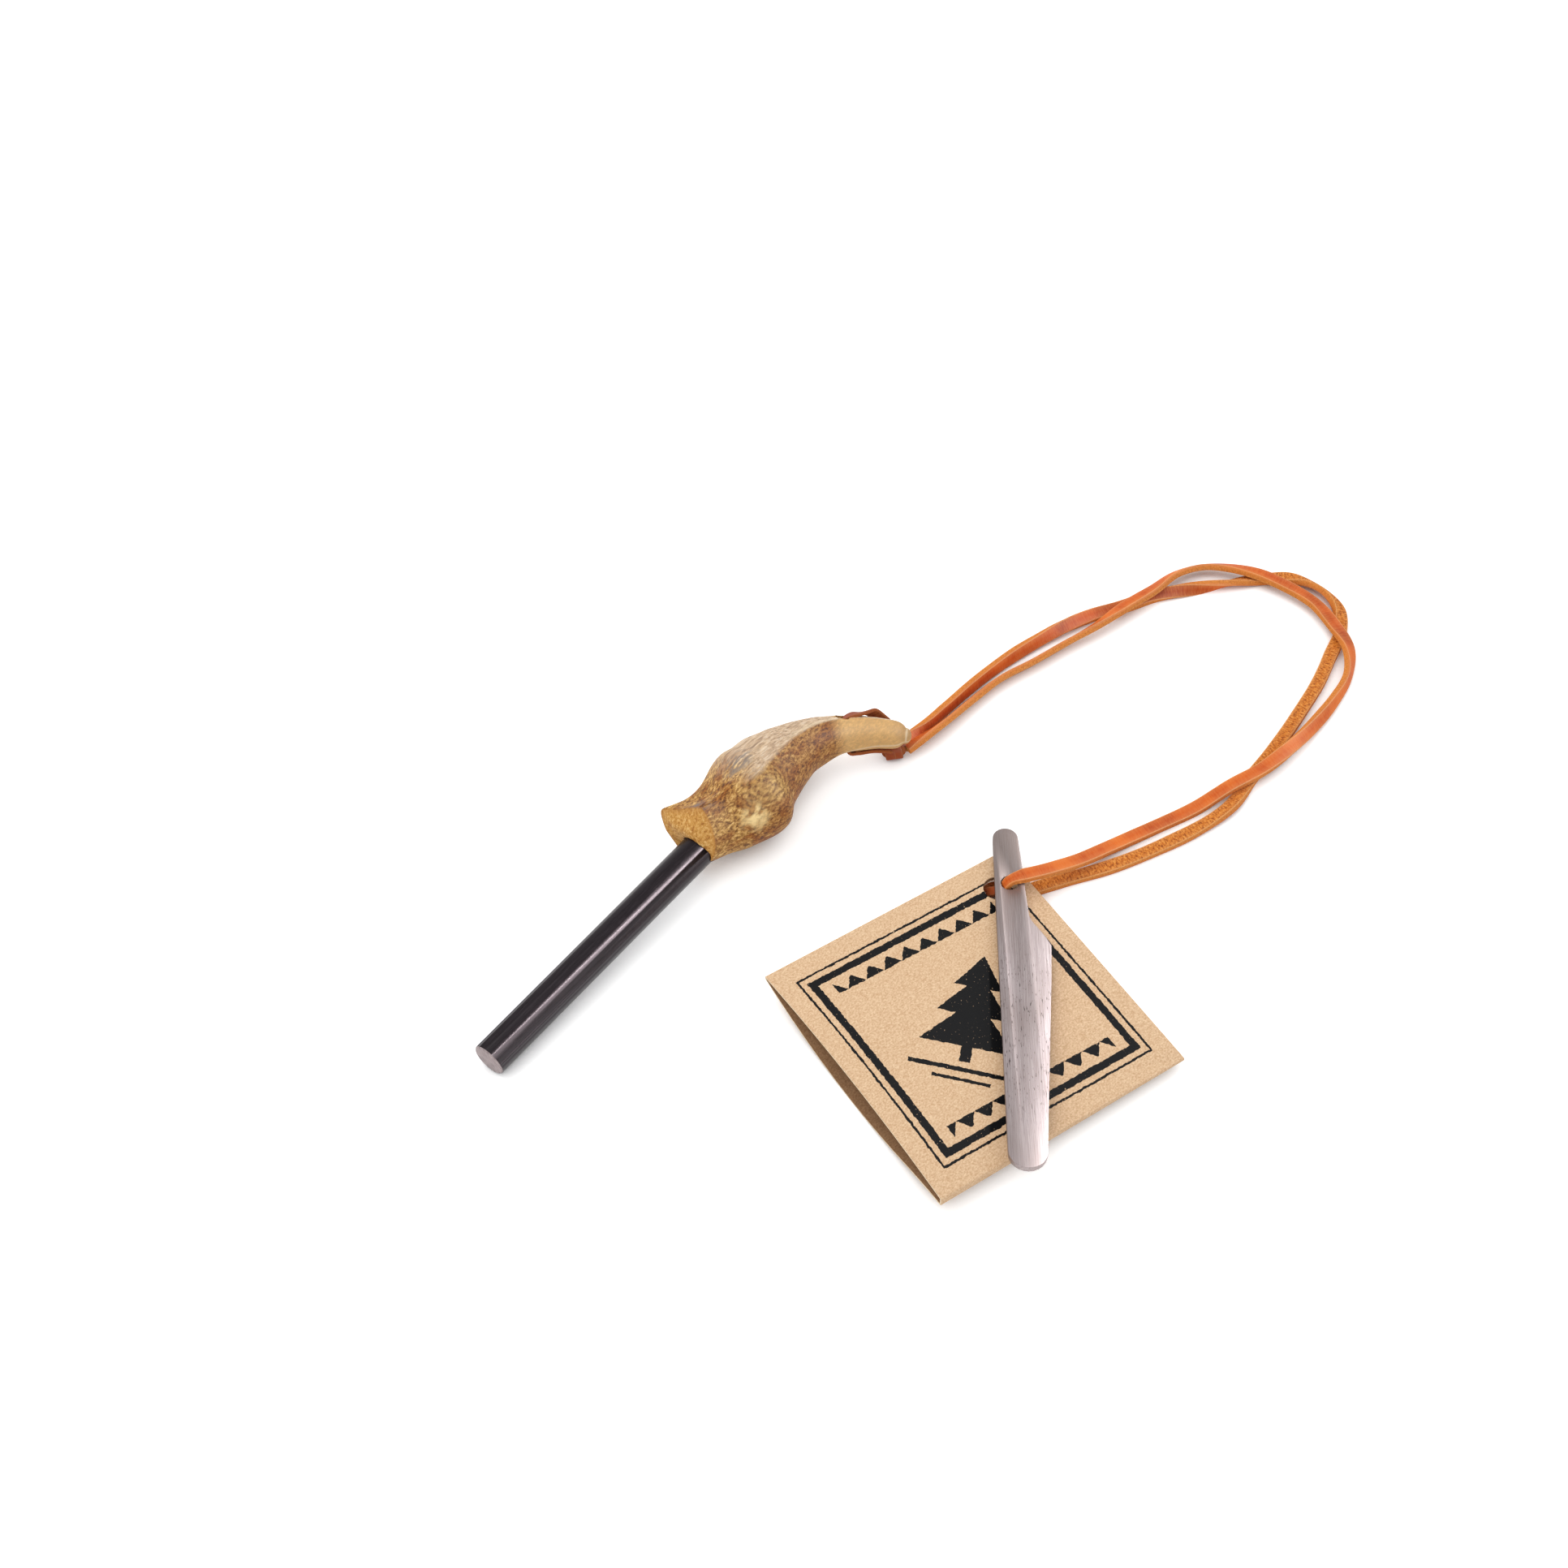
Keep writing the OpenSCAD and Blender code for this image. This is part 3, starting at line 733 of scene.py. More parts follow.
def handle_ring(u):
    """One ring of the handle, and its share of the length."""
    share, bend, drop, slim, flat, lean, mouthy, rake = along(STATIONS, u)
    ahead = along(STATIONS, min(10, u + 0.02)) - along(STATIONS, max(0, u - 0.02))
    turn = math.atan2(ahead[1] * TAIL_BEND, ahead[0] * HANDLE_LENGTH)
    turn *= max(0, min(1, (share - 0.5) / 0.25))
    half_w = (BELLY[0] + (TAIL[0] - BELLY[0]) * slim) / 2
    half_h = (BELLY[1] + (TAIL[1] - BELLY[1]) * flat) / 2
    height = BELLY[1] / 2 + (TAIL_RISE - BELLY[1] / 2) * drop
    ring = []
    for k in range(SIDES):
        v = k * len(BELLY_OUTLINE) / SIDES
        near_ridge = max(0, 1 - min(v, len(BELLY_OUTLINE) - v))
        near_ridge *= max(0.8 * ease(share, 0.38, 0.52), 0.5 * ease(share, 0.14, 0.0))
        near_keel = max(0, 1 - abs(v - 3)) * ease(share, 0.6, 0.8)
        crisp = 0.95 * max(near_ridge, near_keel)
        p = on_outline(BELLY_OUTLINE, v, crisp) * (1 - mouthy) + on_outline(MOUTH_OUTLINE, v, crisp) * mouthy
        a, b = p[0] * half_w, p[1] * half_h
        c, s = math.cos(math.radians(lean)), math.sin(math.radians(lean))
        y, z = a * c - b * s, a * s + b * c
        back = max(0, height + z - mouth_z) * math.tan(math.radians(rake))
        ring.append((share * HANDLE_LENGTH + back - y * math.sin(turn),
                     bend * TAIL_BEND + y * math.cos(turn), height + z))
    return np.array(ring), share


# %% [markdown]
# The mouth was cut with a knife, in a few strokes. Its face comes forward where it meets the rod,
# and goes back to its top edge. The tail ends in a blunt round tip. A few marks are stored with the
# shape: how much a point belongs to the upper facet, to the cut mouth, to the mouth's rim, where
# shade is painted, and to the edges, which are worn and carry a painted highlight on the ridge. The
# wood's colours follow them later.

# %% Loft the handle
MOUTH_STEPS = (0.002, 0.22, 0.30, 0.36, 0.42, 0.50, 0.60, 0.70, 0.79, 0.87, 0.93, 0.965)
TIP_STEPS = (0.985, 0.95, 0.89, 0.80, 0.68, 0.52, 0.33, 0.15, 0.002)
RIM_BREAK = 0.988
FACE_LEAN = 0.48
FACE_SIDE = -0.04
LEAN_TOP = 5.5 * MM
LEAN_FOOT = -2.0 * MM
KNIFE_DEPTH = 0.16 * MM
KNIFE_SIZE = 5 * MM


def knifed(rows, depth=KNIFE_DEPTH):
    """How far a knife's shallow strokes take each point in."""
    strokes = np.array([noise.noise(Vector(row) / KNIFE_SIZE) for row in rows])
    return (strokes - 0.75) * depth


rings, shares = [], []
for i in range(RINGS + 1):
    ring, share_here = handle_ring(i * 10 / RINGS)
    rings.append(ring)
    shares.append(share_here)
mouth_middle = np.array([0, 0, mouth_z])
first = mouth_middle + (rings[0] - mouth_middle) * RIM_BREAK
front = []
for k in MOUTH_STEPS:
    ring = mouth_middle + (first - mouth_middle) * k
    up = np.clip(ring[:, 2] - mouth_z, LEAN_FOOT, LEAN_TOP)
    come = FACE_LEAN * up + FACE_SIDE * np.clip(ring[:, 1], -LEAN_TOP, LEAN_TOP)
    ring[:, 0] -= (come + 2 * knifed(ring)) * ease(1 - k, 0.0, 0.5)
    front.append(ring)
for ring in rings[1:]:
    out = unit(ring - ring.mean(axis=0))
    ring += out * knifed(ring)[:, None] * ease(ring[0, 0], 0, 8 * MM)
tip_middle = rings[-1].mean(axis=0)
tip_point = np.array([HANDLE_LENGTH, -TAIL_BEND, TAIL_RISE])
tip = [tip_middle + (tip_point - tip_middle) * math.sqrt(1 - k * k) + (rings[-1] - tip_middle) * k
       for k in TIP_STEPS]
rings = np.array(front + [first] + rings[1:] + tip)
shares = np.array([0.0] * (len(front) + 1) + shares[1:] + [1.0] * len(tip))
rounds = np.arange(SIDES) * len(BELLY_OUTLINE) / SIDES
# The upper facet's mark: its wood is paler and streaked, and it is also painted lighter where it faces up to
# the light.
upper_facet = ease(rounds, 5.8, 6.8) * ease(shares, 0.16, 0.42)[:, None]
upper_facet[:, 0] = 0.6 * ease(shares, 0.16, 0.42)
cut_mouth = np.zeros(rings.shape[:2])
cut_mouth[:len(front)] = 1
# Painted shade: the rings round the mouth's rim are marked, and the wood is darkened there as a shade line
# under the lip.
rim_painted_shade = np.zeros(rings.shape[:2])
rim_painted_shade[len(front) - 2:len(front) + 1] = 1
# Paler edges for rubbed wear; along the ridge this is also a painted highlight.
ridge = np.where(rounds > 4, np.clip(1 - (8 - rounds) / 0.4, 0, 1), 0.0)
keel = np.clip(1 - np.abs(rounds - 3.05) / 0.2, 0, 1)
ridge_on = ease(shares, 0.45, 0.75)[:, None] * 0.8
keel_on = ease(shares, 0.70, 0.80)[:, None]
edge = np.maximum(ridge * ridge_on, keel * keel_on)
tip_start = len(front) + RINGS
near_face = ease(np.abs(rounds - 1.5), 1.9, 1.5)
edge[tip_start + 1:tip_start + 3] = np.maximum(edge[tip_start + 1:tip_start + 3], near_face * 0.7)
handle = rolled("carved_handle", rings + MOUTH, {
    "upper_facet": upper_facet,
    "cut_mouth": cut_mouth,
    "rim_painted_shade": rim_painted_shade,
    "edge_wear_and_highlight": edge,
    "share": np.repeat(shares[:, None], SIDES, axis=1),
})
scale_uv(handle, 2 * math.pi * BELLY[0] / 2, HANDLE_LENGTH)

# %% [markdown]
# The socket and the lace's hole are drilled, so each is cut with a cylinder by a Boolean modifier,
# which is then applied.

# %% Drill the socket and the tail's hole
DRILL_SIDES = 64
DRILL_PAST = 10 * MM


def drill(piece, middle, direction, radius, length):
    """Cuts a round hole with its middle at a point."""
    deselect()
    way = Vector(direction).to_track_quat("Z", "Y").to_euler()
    bpy.ops.mesh.primitive_cylinder_add(
        vertices=DRILL_SIDES, radius=radius, depth=length, location=Vector(middle), rotation=way)
    bit = bpy.context.object
    deselect()
    bpy.context.view_layer.objects.active = piece
    piece.select_set(True)
    bpy.ops.object.modifier_add(type="BOOLEAN")
    cut = piece.modifiers[-1]
    cut.object = bit
    cut.operation = "DIFFERENCE"
    cut.solver = "EXACT"
    bpy.ops.object.modifier_apply(modifier=cut.name)
    bpy.data.objects.remove(bit)


rod_way = np.array([math.cos(ROD_SLOPE), 0, math.sin(ROD_SLOPE)])
mouth_at = MOUTH + [0, 0, mouth_z]
bore = SOCKET_DEPTH + DRILL_PAST
drill(handle, mouth_at + rod_way * (SOCKET_DEPTH - bore / 2), rod_way, SOCKET_RADIUS, bore)
hole_way = in_tail(np.array([[0, 0, 1.0]]))[0]
hole_at = in_tail(np.array([[TAIL_HOLE_X, 0, 0]]))[0] + TAIL_AT
drill(handle, hole_at, hole_way, TAIL_HOLE_RADIUS, 2 * DRILL_PAST)
smooth(handle, 40)
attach(handle, "rod_and_handle")
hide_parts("handle")
print("handle:", len(handle.data.polygons), "faces after drilling")

# %% [markdown]
# ## Curly birch
# Root wood has no straight grain. The near side shows a fine mottle with a swirl round a knot and a
# pale patch under it, with painted shade on the belly's lower side. The upper facet is paler with
# grey streaks along it, partly its own wood and partly painted light where it faces up, and the ridge
# carries a painted highlight. The freshly cut mouth is honey yellow with open pores and painted shade
# along its rim. Oil leaves a soft sheen on all of it.

# %% Carved birch
SWIRL_AT = (30.4 * MM, 56.7 * MM, 25 * MM)
PALE_AT = (22.3 * MM, 53.7 * MM, 20 * MM)
LOW_SHADE_AT = (36 * MM, 51 * MM, 11 * MM)
STAINS_AT = ((14.5 * MM, 67.9 * MM, 24.5 * MM), (30.8 * MM, 67.3 * MM, 26.5 * MM))


def near(tree, place, size):
    """How close a point of the wood is to a place: 1 there, 0 at the given sizes away."""
    where = add(tree, "TexCoord", out="Object")
    wobble = add(tree, "TexNoise", Vector=where, Scale=260.0, Detail=2.0, out="Color")
    wobble = add(tree, "VectorMath", (wobble, (0.5, 0.5, 0.5)), operation="SUBTRACT")
    wobble = add(tree, "VectorMath", (wobble, (0.004, 0.004, 0.004)), operation="MULTIPLY")
    where = add(tree, "VectorMath", (where, wobble), operation="ADD")
    where = add(tree, "VectorMath", (where, place), operation="SUBTRACT")
    where = add(tree, "VectorMath", (where, [s * MM for s in size]), operation="DIVIDE")
    far = add(tree, "VectorMath", (where,), operation="LENGTH", out="Value")
    return add(tree, "MapRange", Value=far, From_Min=1.0, From_Max=0.3), far


def carved_birch():
    material, tree = new_material("carved_birch")
    curl_at = millimetres(tree, (1.3, 0.75, 0.75))
    curl = add(tree, "TexNoise", Vector=curl_at, Scale=1.0, Detail=4.0, Roughness=0.66, Distortion=0.35)
    mottle_at = millimetres(tree, (7, 4.5, 4.5))
    mottle = add(tree, "TexNoise", Vector=mottle_at, Scale=1.0, Detail=3.0, Distortion=0.8)
    body = add(tree, "ValToRGB", Fac=curl, stops=[
        (0.36, "#6C4721"), (0.45, "#9F7038"), (0.54, "#C99A54"), (0.66, "#EDC782")])
    tint = add(tree, "MapRange", Value=mottle, From_Min=0.40, From_Max=0.60)
    brown = add(tree, "Mix", data_type="RGBA", blend_type="MULTIPLY", Factor=1.0,
                A=body, B="#C4A07C")
    body = add(tree, "Mix", data_type="RGBA", Factor=tint, A=brown, B=body)

    swirl, from_swirl = near(tree, SWIRL_AT, (12, 9, 10))
    rings_at = add(tree, "Math", (from_swirl, 36.0), operation="MULTIPLY")
    rings_at = add(tree, "Math", (rings_at,), operation="SINE")
    rings_at = add(tree, "MapRange", Value=rings_at, From_Min=-1.6, From_Max=1.6)
    rings_at = add(tree, "Math", (rings_at, curl), operation="ADD")
    rings_at = add(tree, "MapRange", Value=rings_at, From_Min=0.6, From_Max=1.4)
    ringed = add(tree, "Mix", data_type="RGBA", Factor=rings_at, A="#71491F", B="#E2B86C")
    swirl_share = add(tree, "Math", (swirl, 0.5), operation="MULTIPLY")
    body = add(tree, "Mix", data_type="RGBA", Factor=swirl_share, A=body, B=ringed)
    pale, _ = near(tree, PALE_AT, (5, 5, 6))
    blotch = add(tree, "MapRange", Value=mottle, From_Min=0.40, From_Max=0.52, To_Min=0.15, To_Max=0.95)
    pale = add(tree, "Math", (pale, blotch), operation="MULTIPLY")
    body = add(tree, "Mix", data_type="RGBA", Factor=pale, A=body, B="#FBDD9E")
    # Painted shade: the lower near side of the belly is darkened.
    low, _ = near(tree, LOW_SHADE_AT, (16, 9, 12))
    low = add(tree, "Math", (low, 0.7), operation="MULTIPLY")
    body = add(tree, "Mix", data_type="RGBA", Factor=low, A=body, B=brown)

    share = add(tree, "Attribute", attribute_name="share", out="Fac")
    neck = add(tree, "MapRange", Value=share, From_Min=0.42, From_Max=0.56, To_Max=0.6)
    body = add(tree, "Mix", data_type="RGBA", Factor=neck, A=body, B=brown)
    tail = add(tree, "MapRange", Value=share, From_Min=0.76, From_Max=0.82, To_Max=0.62)
    body = add(tree, "Mix", data_type="RGBA", Factor=tail, A=body, B="#EDC283")
    tip = add(tree, "MapRange", Value=share, From_Min=0.95, From_Max=1.0, To_Max=0.5)
    body = add(tree, "Mix", data_type="RGBA", Factor=tip, A=body, B="#9A7448")

    streak_at = millimetres(tree, (24, 0.7, 0.7))
    streak = add(tree, "TexNoise", Vector=streak_at, Scale=1.0, Detail=4.0, Roughness=0.62)
    facet = add(tree, "ValToRGB", Fac=streak, stops=[
        (0.34, "#9C8774"), (0.45, "#C7AB8E"), (0.56, "#DEC6A8"), (0.70, "#F0E0CC")])
    speck = add(tree, "MapRange", Value=curl, From_Min=0.36, From_Max=0.48, To_Min=0.2, To_Max=0.0)
    facet = add(tree, "Mix", data_type="RGBA", Factor=speck, A=facet, B="#94714A")
    # Partly painted light: the upper facet is coloured paler as the face turned up to the light.
    on_facet = add(tree, "Attribute", attribute_name="upper_facet", out="Fac")
    on_facet = add(tree, "Math", (on_facet, 0.85), operation="MULTIPLY")
    colour = add(tree, "Mix", data_type="RGBA", Factor=on_facet, A=body, B=facet)
    stain_at = millimetres(tree, (5, 1.0, 1.0))
    stain = add(tree, "TexNoise", Vector=stain_at, Scale=1.0, Detail=3.0)
    stain = add(tree, "MapRange", Value=stain, From_Min=0.46, From_Max=0.56, To_Max=0.85)
    for place in STAINS_AT:
        here, _ = near(tree, place, (9, 5, 5))
        here = add(tree, "Math", (here, stain), operation="MULTIPLY")
        colour = add(tree, "Mix", data_type="RGBA", Factor=here, A=colour, B="#7D726C")

    pores = add(tree, "ValToRGB", Fac=curl, stops=[
        (0.36, "#A0642A"), (0.46, "#C28A42"), (0.56, "#D5A259"), (0.68, "#E8C382")])
    side_of_face = add(tree, "TexCoord", out="Object")
    side_of_face = add(tree, "SeparateXYZ", Vector=side_of_face, out="Y")
    orange = add(tree, "MapRange", Value=side_of_face, From_Min=59 * MM, From_Max=55 * MM, To_Max=0.55)
    pores = add(tree, "Mix", data_type="RGBA", Factor=orange, A=pores, B="#C58034")
    on_mouth = add(tree, "Attribute", attribute_name="cut_mouth", out="Fac")
    colour = add(tree, "Mix", data_type="RGBA", Factor=on_mouth, A=colour, B=pores)
    # Painted shade along the mouth's rim.
    rim_painted_shade = add(tree, "Attribute", attribute_name="rim_painted_shade", out="Fac")
    rim_painted_shade = add(tree, "Math", (rim_painted_shade, 0.45), operation="MULTIPLY")
    colour = add(tree, "Mix", data_type="RGBA", Factor=rim_painted_shade, A=colour, B="#C08646")
    # Paler edges: rubbed wear, and on the ridge a painted highlight.
    worn = add(tree, "Attribute", attribute_name="edge_wear_and_highlight", out="Fac")
    worn = add(tree, "Math", (worn, 0.8), operation="MULTIPLY")
    colour = add(tree, "Mix", data_type="RGBA", Factor=worn, A=colour, B="#EBD6B2")

    rough = add(tree, "MapRange", Value=curl, To_Min=0.5, To_Max=0.7)
    bump = add(tree, "Bump", Strength=0.45, Distance=0.12 * MM, Height=curl)
    shader = add(tree, "BsdfPrincipled", Base_Color=colour, Roughness=rough, Normal=bump,
                 Specular_IOR_Level=0.2)
    add(tree, "OutputMaterial", Surface=shader)
    return material


dress(handle, carved_birch())
print("birch on the handle")

# %% [markdown]
# ## Rigid pieces from their solids
# The rod, the striker and the card are already right in shape. Each gets a copy of its solid, with
# its loose triangles merged and its flat faces joined, so that edges can be rounded and shaded.

# %% Copy a solid


def copy_of(node, name, body):
    """A piece with the solid's own mesh, merged, that stands for the solid."""
    piece = bpy.data.objects.new(name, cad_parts[node].data.copy())
    piece.data.name = name
    scene.collection.objects.link(piece)
    edit(piece)
    bpy.ops.mesh.select_all(action="SELECT")
    bpy.ops.mesh.remove_doubles(threshold=1e-6)
    bpy.ops.mesh.dissolve_limited(angle_limit=math.radians(0.5))
    leave_edit()
    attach(piece, body)
    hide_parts(node)
    return piece


def soften(piece, width, degrees, segments=2):
    """Rounds the edges that are sharper than an angle."""
    deselect()
    bpy.context.view_layer.objects.active = piece
    piece.select_set(True)
    bpy.ops.object.modifier_add(type="BEVEL")
    bevel = piece.modifiers[-1]
    bevel.width = width
    bevel.segments = segments
    bevel.limit_method = "ANGLE"
    bevel.angle_limit = math.radians(degrees)
    bpy.ops.object.modifier_apply(modifier=bevel.name)


def faces_where(piece, test, slot):
    """Gives the faces that pass a test of middle and normal another material slot."""
    for face in piece.data.polygons:
        if test(face.center, face.normal):
            face.material_index = slot


# %% [markdown]
# ## The rod
# Ferrocerium is a grey, brittle metal, sold with a black coating that keeps it from the damp. The
# coating has fine lines along the rod from drawing it. The end is cut bare, so it is plain grey.

# %% The fire rod


def black_coating():
    material, tree = new_material("black_coated_ferrocerium")
    lines_at = millimetres(tree, (11, 0.3, 0.3))
    lines = add(tree, "TexNoise", Vector=lines_at, Scale=1.0, Detail=3.0, Roughness=0.6)
    spot_at = millimetres(tree, (1.1, 0.6, 0.6))
    spot = add(tree, "TexNoise", Vector=spot_at, Scale=1.0, Detail=3.0, Roughness=0.6)
    colour = add(tree, "ValToRGB", Fac=lines, stops=[
        (0.34, "#070608"), (0.52, "#0E0B10"), (0.70, "#1F1A1F")])
    uneven = add(tree, "Math", (lines, spot), operation="ADD")
    rough = add(tree, "MapRange", Value=uneven, From_Min=0.7, From_Max=1.3, To_Min=0.27, To_Max=0.36)
    bump = add(tree, "Bump", Strength=0.3, Distance=0.015 * MM, Height=uneven)
    shader = add(tree, "BsdfPrincipled", Base_Color=colour, Roughness=rough, Normal=bump, IOR=1.42,
                 Specular_Tint="#FFEAF2")
    add(tree, "OutputMaterial", Surface=shader)
    return material


def bare_ferrocerium():
    material, tree = new_material("bare_ferrocerium")
    saw_at = millimetres(tree, (2, 0.3, 2.2), turn=(math.radians(35), 0, 0))
    saw = add(tree, "TexNoise", Vector=saw_at, Scale=1.0, Detail=3.0)
    colour = add(tree, "ValToRGB", Fac=saw, stops=[
        (0.35, "#7A6E6F"), (0.52, "#9D8F8F"), (0.70, "#B5A8A8")])
    bump = add(tree, "Bump", Strength=0.4, Distance=0.05 * MM, Height=saw)
    shader = add(tree, "BsdfPrincipled", Base_Color=colour, Metallic=0.8, Roughness=0.5, Normal=bump)
    add(tree, "OutputMaterial", Surface=shader)
    return material


rod = copy_of("fire_rod", "coated_rod", "rod_and_handle")
STEP_IN = 4 * MM
for point in rod.data.vertices:
    if 4 * MM < point.co.x < MOUTH[0]:
        point.co += Vector((math.cos(ROD_SLOPE), 0, math.sin(ROD_SLOPE))) * STEP_IN
dress(rod, black_coating(), bare_ferrocerium())
BARE_END = MOUTH[0] - (ROD_SHOW - 0.35 * MM) * math.cos(ROD_SLOPE)
faces_where(rod, lambda middle, normal: middle.x < BARE_END, 1)
faces_where(rod, lambda middle, normal: middle.x > MOUTH[0] and normal.x > 0.9, 1)
smooth(rod, 30)
print("rod:", len(rod.data.polygons), "faces")


def set_epoxy():
    material, tree = new_material("set_epoxy")
    cloud_at = millimetres(tree, (2, 2, 2))
    cloud = add(tree, "TexNoise", Vector=cloud_at, Scale=1.0, Detail=2.0)
    colour = add(tree, "ValToRGB", Fac=cloud, stops=[(0.3, "#B59F73"), (0.7, "#D2C091")])
    shader = add(tree, "BsdfPrincipled", Base_Color=colour, Roughness=0.3, IOR=1.55)
    add(tree, "OutputMaterial", Surface=shader)
    return material


dress(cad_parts["rod_glue"], set_epoxy())

# %% [markdown]
# ## The striker
# The striker is a strip of spring steel, ground along its length, then stamped to its outline. The
# grinding leaves long fine lines, some darker nicks where scale was left, and edges that the
# tumbler has softened.

# %% The striker
BLADE_WAY = math.radians(220)
EDGE_SOFT = 0.25 * MM


def ground_steel():
    material, tree = new_material("ground_spring_steel")
    turn = (0, 0, -BLADE_WAY)
    lines_at = millimetres(tree, (18, 0.24, 0.8), turn)
    lines = add(tree, "TexNoise", Vector=lines_at, Scale=1.0, Detail=4.0, Roughness=0.72)
    cloud_at = millimetres(tree, (16, 6, 6), turn)
    cloud = add(tree, "TexNoise", Vector=cloud_at, Scale=1.0, Detail=2.0)
    colour = add(tree, "ValToRGB", Fac=lines, stops=[
        (0.30, "#857979"), (0.50, "#A69A9A"), (0.72, "#C6BBBB")])
    along_blade = millimetres(tree, (1, 1, 1), turn)
    along_blade = add(tree, "SeparateXYZ", Vector=along_blade, out="X")
    # Painted shade: the blade is coloured darker towards the neck, where its reflections are dimmer.
    neck = add(tree, "MapRange", Value=along_blade, From_Min=-12.0, From_Max=-48.0, To_Max=0.55)
    colour = add(tree, "Mix", data_type="RGBA", Factor=neck, A=colour, B="#82756D")
    shade = add(tree, "MapRange", Value=cloud, From_Min=0.35, From_Max=0.65, To_Min=0.4, To_Max=0.0)
    colour = add(tree, "Mix", data_type="RGBA", Factor=shade, A=colour, B="#8F817D")
    nick_at = millimetres(tree, (1.7, 0.34, 1), turn)
    nick = add(tree, "TexNoise", Vector=nick_at, Scale=1.0, Detail=1.0)
    dark = add(tree, "MapRange", Value=nick, From_Min=0.645, From_Max=0.70, To_Max=0.8)
    mid_blade = add(tree, "Math", (along_blade, 14.0), operation="SUBTRACT")
    mid_blade = add(tree, "Math", (mid_blade,), operation="ABSOLUTE")
    mid_blade = add(tree, "MapRange", Value=mid_blade, From_Min=34.0, From_Max=16.0)
    dark = add(tree, "Math", (dark, mid_blade), operation="MULTIPLY")
    colour = add(tree, "Mix", data_type="RGBA", Factor=dark, A=colour, B="#4A3F3E")
    rough = add(tree, "MapRange", Value=lines, From_Min=0.3, From_Max=0.7, To_Min=0.55, To_Max=0.4)
    bump = add(tree, "Bump", Strength=0.35, Distance=0.02 * MM, Height=lines)
    shader = add(tree, "BsdfPrincipled", Base_Color=colour, Metallic=1.0, Roughness=rough,
                 Normal=bump)
    add(tree, "OutputMaterial", Surface=shader)
    return material


striker = copy_of("striker", "steel_striker", "striker")
soften(striker, EDGE_SOFT, 50)
dress(striker, ground_steel())
smooth(striker, 40)
print("striker:", len(striker.data.polygons), "faces")

# %% [markdown]
# ## The card
# The sleeve is half a millimetre of kraft card, folded round into a flat open tube, with a hole
# punched through a corner. Its long folds are rounded, and its cut edges show a paler core. It hangs
# by its corner hole, so the print stands upright on the diagonal.

# %% The card's shape and its flat map
CARD_AT = Vector((16.7, -28.5, 0)) * MM
CARD_TURN = math.radians(-16.3)
CARD_LENGTH = 81 * MM
CARD_WIDTH = 83 * MM
BOARD = 0.5 * MM
FOLD_HEIGHTS = (7.3 * MM, 3.8 * MM)
FOLD_SOFT = 0.3 * MM
OFF_PRINT = 1.0

card = copy_of("card", "card_sleeve", "card")


def in_card(point):
    """A point in the card's own flat frame: along the folds, and across from fold to fold."""
    away = point - CARD_AT
    c, s = math.cos(CARD_TURN), math.sin(CARD_TURN)
    return away.x * c + away.y * s, away.y * c - away.x * s


NEAR_FOLD_DROP = 2.2 * MM
DROP_REACH = 16 * MM
for point in card.data.vertices:
    x, y = in_card(point.co)
    share_here = x / CARD_LENGTH + 0.5
    fold_z = FOLD_HEIGHTS[0] + (FOLD_HEIGHTS[1] - FOLD_HEIGHTS[0]) * share_here
    if point.co.z < fold_z:
        from_fold = (y + CARD_WIDTH / 2) / DROP_REACH
        point.co.z -= NEAR_FOLD_DROP * max(0, 1 - share_here) * max(0, 1 - from_fold) ** 2

edit(card)
bpy.ops.mesh.select_mode(type="EDGE")
leave_edit()
for line in card.data.edges:
    ends = [in_card(card.data.vertices[v].co) for v in line.vertices]
    at_fold = all(abs(abs(e[1]) - CARD_WIDTH / 2) < 0.01 * MM for e in ends)
    line.select = at_fold and abs(ends[0][0] - ends[1][0]) > 5 * MM
chosen = sum(line.select for line in card.data.edges)
bpy.ops.object.mode_set(mode="EDIT")
bpy.ops.mesh.bevel(offset=FOLD_SOFT, segments=4, clamp_overlap=True)
leave_edit()
print("fold edges rounded:", chosen, "and faces:", len(card.data.polygons))

flat = card.data.uv_layers.new(name="flat")
card.data.uv_layers.active = flat
finish_slots = np.zeros(len(card.data.polygons), np.int32)
for face in card.data.polygons:
    x, y = in_card(face.center)
    fold_z = FOLD_HEIGHTS[0] + (FOLD_HEIGHTS[1] - FOLD_HEIGHTS[0]) * (x / CARD_LENGTH + 0.5)
    on_top = face.normal.z > 0.5 and face.center.z > fold_z
    shift = 0 if on_top else OFF_PRINT
    for loop in face.loop_indices:
        u, v = in_card(card.data.vertices[card.data.loops[loop].vertex_index].co)
        flat.data[loop].uv = (u + shift, v)
    facing_in = face.normal.z * (face.center.z - fold_z) < 0 and abs(face.normal.z) > 0.5
    finish_slots[face.index] = 1 if facing_in else 0
    if abs(abs(x) - CARD_LENGTH / 2) < 0.01 * MM:
        finish_slots[face.index] = 2
smooth(card, 25)

# %% [markdown]
# ## Kraft card and its stamp
# Kraft card is pressed from unbleached pulp, so it is tan with fine fibres and specks. Its cut
# edges are paler, and its inside is plain and darker, partly its own plain side and partly painted
# shade inside the sleeve. The stamp is black ink: a square border, a row of teeth and a spruce with its
# ground line. Each form is a range of the flat map's millimetres, with a small wobble, because a stamp never
# prints a clean edge.

# %% Kraft card and ink


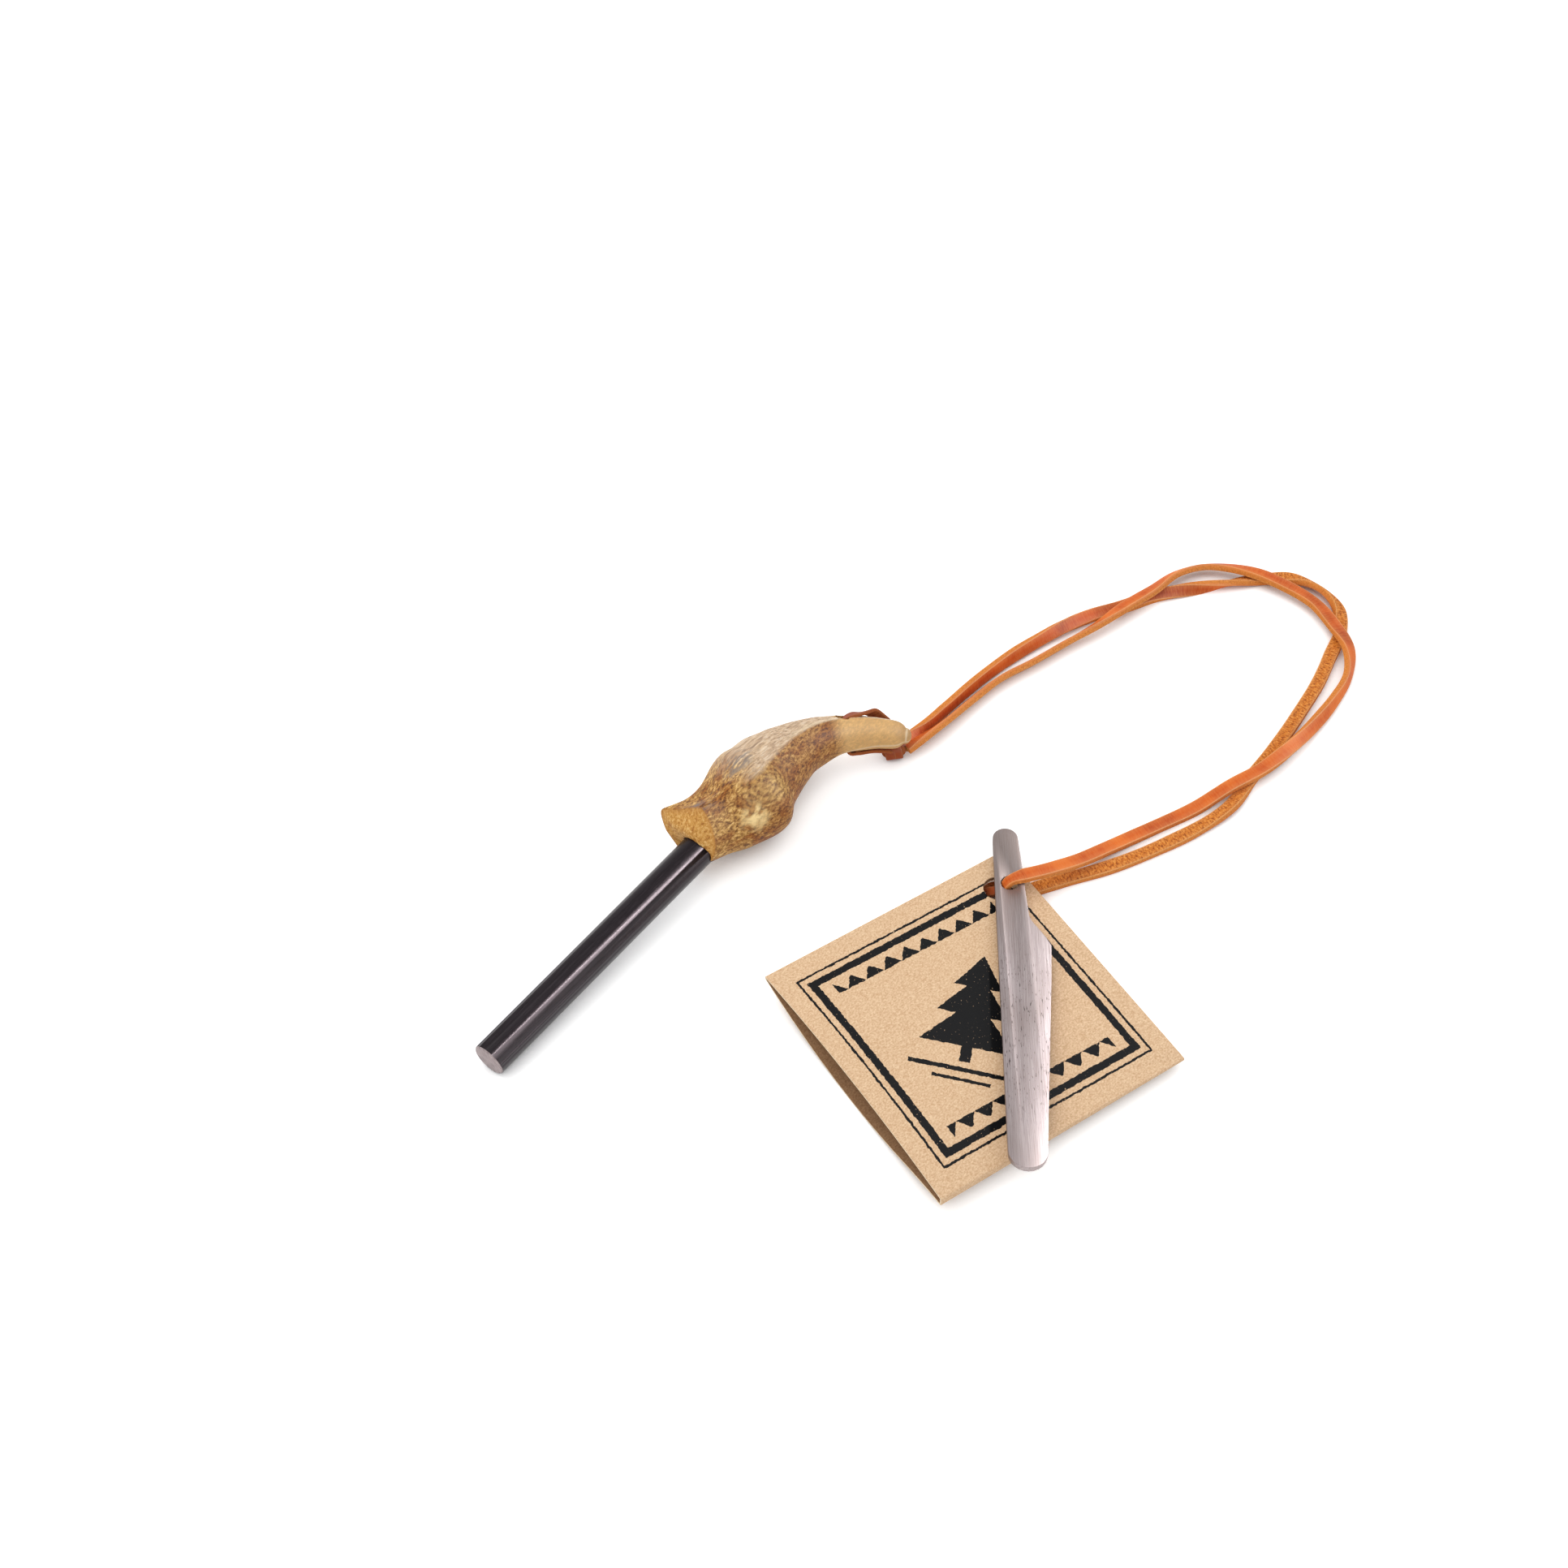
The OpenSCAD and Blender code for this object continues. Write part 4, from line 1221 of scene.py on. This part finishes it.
def kraft(name, light, dark, printed=False):
    material, tree = new_material(name)
    fibre_at = millimetres(tree, (0.9, 0.4, 0.4))
    fibre = add(tree, "TexNoise", Vector=fibre_at, Scale=1.0, Detail=4.0, Roughness=0.7)
    speck_at = millimetres(tree, (0.5, 0.5, 0.5))
    speck = add(tree, "TexNoise", Vector=speck_at, Scale=1.0, Detail=2.0)
    mixed = add(tree, "Math", (fibre, speck), operation="ADD")
    mixed = add(tree, "MapRange", Value=mixed, From_Min=0.75, From_Max=1.25)
    colour = add(tree, "Mix", data_type="RGBA", Factor=mixed, A=dark, B=light)
    if printed:
        colour = add(tree, "Mix", data_type="RGBA", Factor=stamp(tree), A=colour, B="#0B0B0D")
    bump = add(tree, "Bump", Strength=0.25, Distance=0.05 * MM, Height=fibre)
    shader = add(tree, "BsdfPrincipled", Base_Color=colour, Roughness=0.85, Normal=bump,
                 Specular_IOR_Level=0.15)
    add(tree, "OutputMaterial", Surface=shader)
    return material


def stamp(tree):
    """The share of ink at each point of the card's flat map."""

    def sum_up(kind, *values):
        return add(tree, "Math", values, operation=kind)

    def within(value, low, high):
        above = sum_up("GREATER_THAN", value, low)
        return sum_up("MULTIPLY", above, sum_up("LESS_THAN", value, high))

    def every(*shapes):
        whole = shapes[0]
        for shape in shapes[1:]:
            whole = sum_up("MULTIPLY", whole, shape)
        return whole

    def any_of(*shapes):
        whole = shapes[0]
        for shape in shapes[1:]:
            whole = sum_up("MAXIMUM", whole, shape)
        return whole

    place = millimetres(tree, (1, 1, 1), uv="flat")
    rough = add(tree, "TexNoise", Vector=place, Scale=0.9, Detail=3.0, out="Color")
    rough = add(tree, "VectorMath", (rough, (0.5, 0.5, 0.5)), operation="SUBTRACT")
    rough = add(tree, "VectorMath", (rough, (0.9, 0.9, 0)), operation="MULTIPLY")
    place = add(tree, "VectorMath", (place, rough), operation="ADD")
    x = add(tree, "SeparateXYZ", Vector=place, out="X")
    y = add(tree, "SeparateXYZ", Vector=place, out="Y")
    wide, tall = sum_up("ABSOLUTE", x), sum_up("ABSOLUTE", y)
    frame_line = sum_up("MAXIMUM", wide, tall)
    border = any_of(within(frame_line, 34.2, 34.9), within(frame_line, 30.4, 32.6))
    tooth = sum_up("PINGPONG", x, 3.0)
    tooth = sum_up("MULTIPLY", tooth, 1.3)
    depth = sum_up("SUBTRACT", tall, 25.0)
    teeth = every(within(depth, 0.0, 3.6), sum_up("GREATER_THAN", tooth, depth), within(wide, -1, 27))
    up = sum_up("MULTIPLY", sum_up("ADD", x, y), math.sqrt(0.5))
    off = sum_up("ABSOLUTE", sum_up("MULTIPLY", sum_up("SUBTRACT", x, y), math.sqrt(0.5)))
    tiers = []
    for top, foot, spread in ((20, 9, 0.62), (13.5, -0.5, 0.72), (5.5, -11, 0.80)):
        fall = sum_up("SUBTRACT", float(top), up)
        tier = sum_up("LESS_THAN", off, sum_up("MULTIPLY", fall, spread))
        tiers.append(every(tier, within(up, float(foot), float(top))))
    trunk = every(within(off, -1, 1.5), within(up, -16, -11))
    ground = every(within(off, -1, 15), within(up, -19.2, -17.8))
    second = every(within(off, -1, 8), within(up, -22.2, -21.2))
    ink = any_of(border, teeth, trunk, ground, second, *tiers)
    worn = add(tree, "TexNoise", Vector=place, Scale=1.6, Detail=4.0)
    return sum_up("MULTIPLY", ink, add(tree, "MapRange", Value=worn, From_Min=0.27, From_Max=0.33))


outside = kraft("kraft_card", "#EACBA6", "#CBA37C", printed=True)
# The inside is the card's plain side, coloured darker still as painted shade inside the sleeve.
inside = kraft("kraft_card_inside", "#B08A67", "#8F6A4A")
core_edge = kraft("kraft_card_edge", "#F4E2C8", "#DCC09A")
dress(card, outside, inside, core_edge)
card.data.polygons.foreach_set("material_index", finish_slots)
print("card faces for each finish:", np.bincount(finish_slots))
print("card: stamp and", len(card.data.materials), "finishes")

# %% [markdown]
# ## Finish
# The lace's whole length is printed.

print("lace in all:", round((upper_length + lower_length + fold_length + hitch_length), 3), "m")
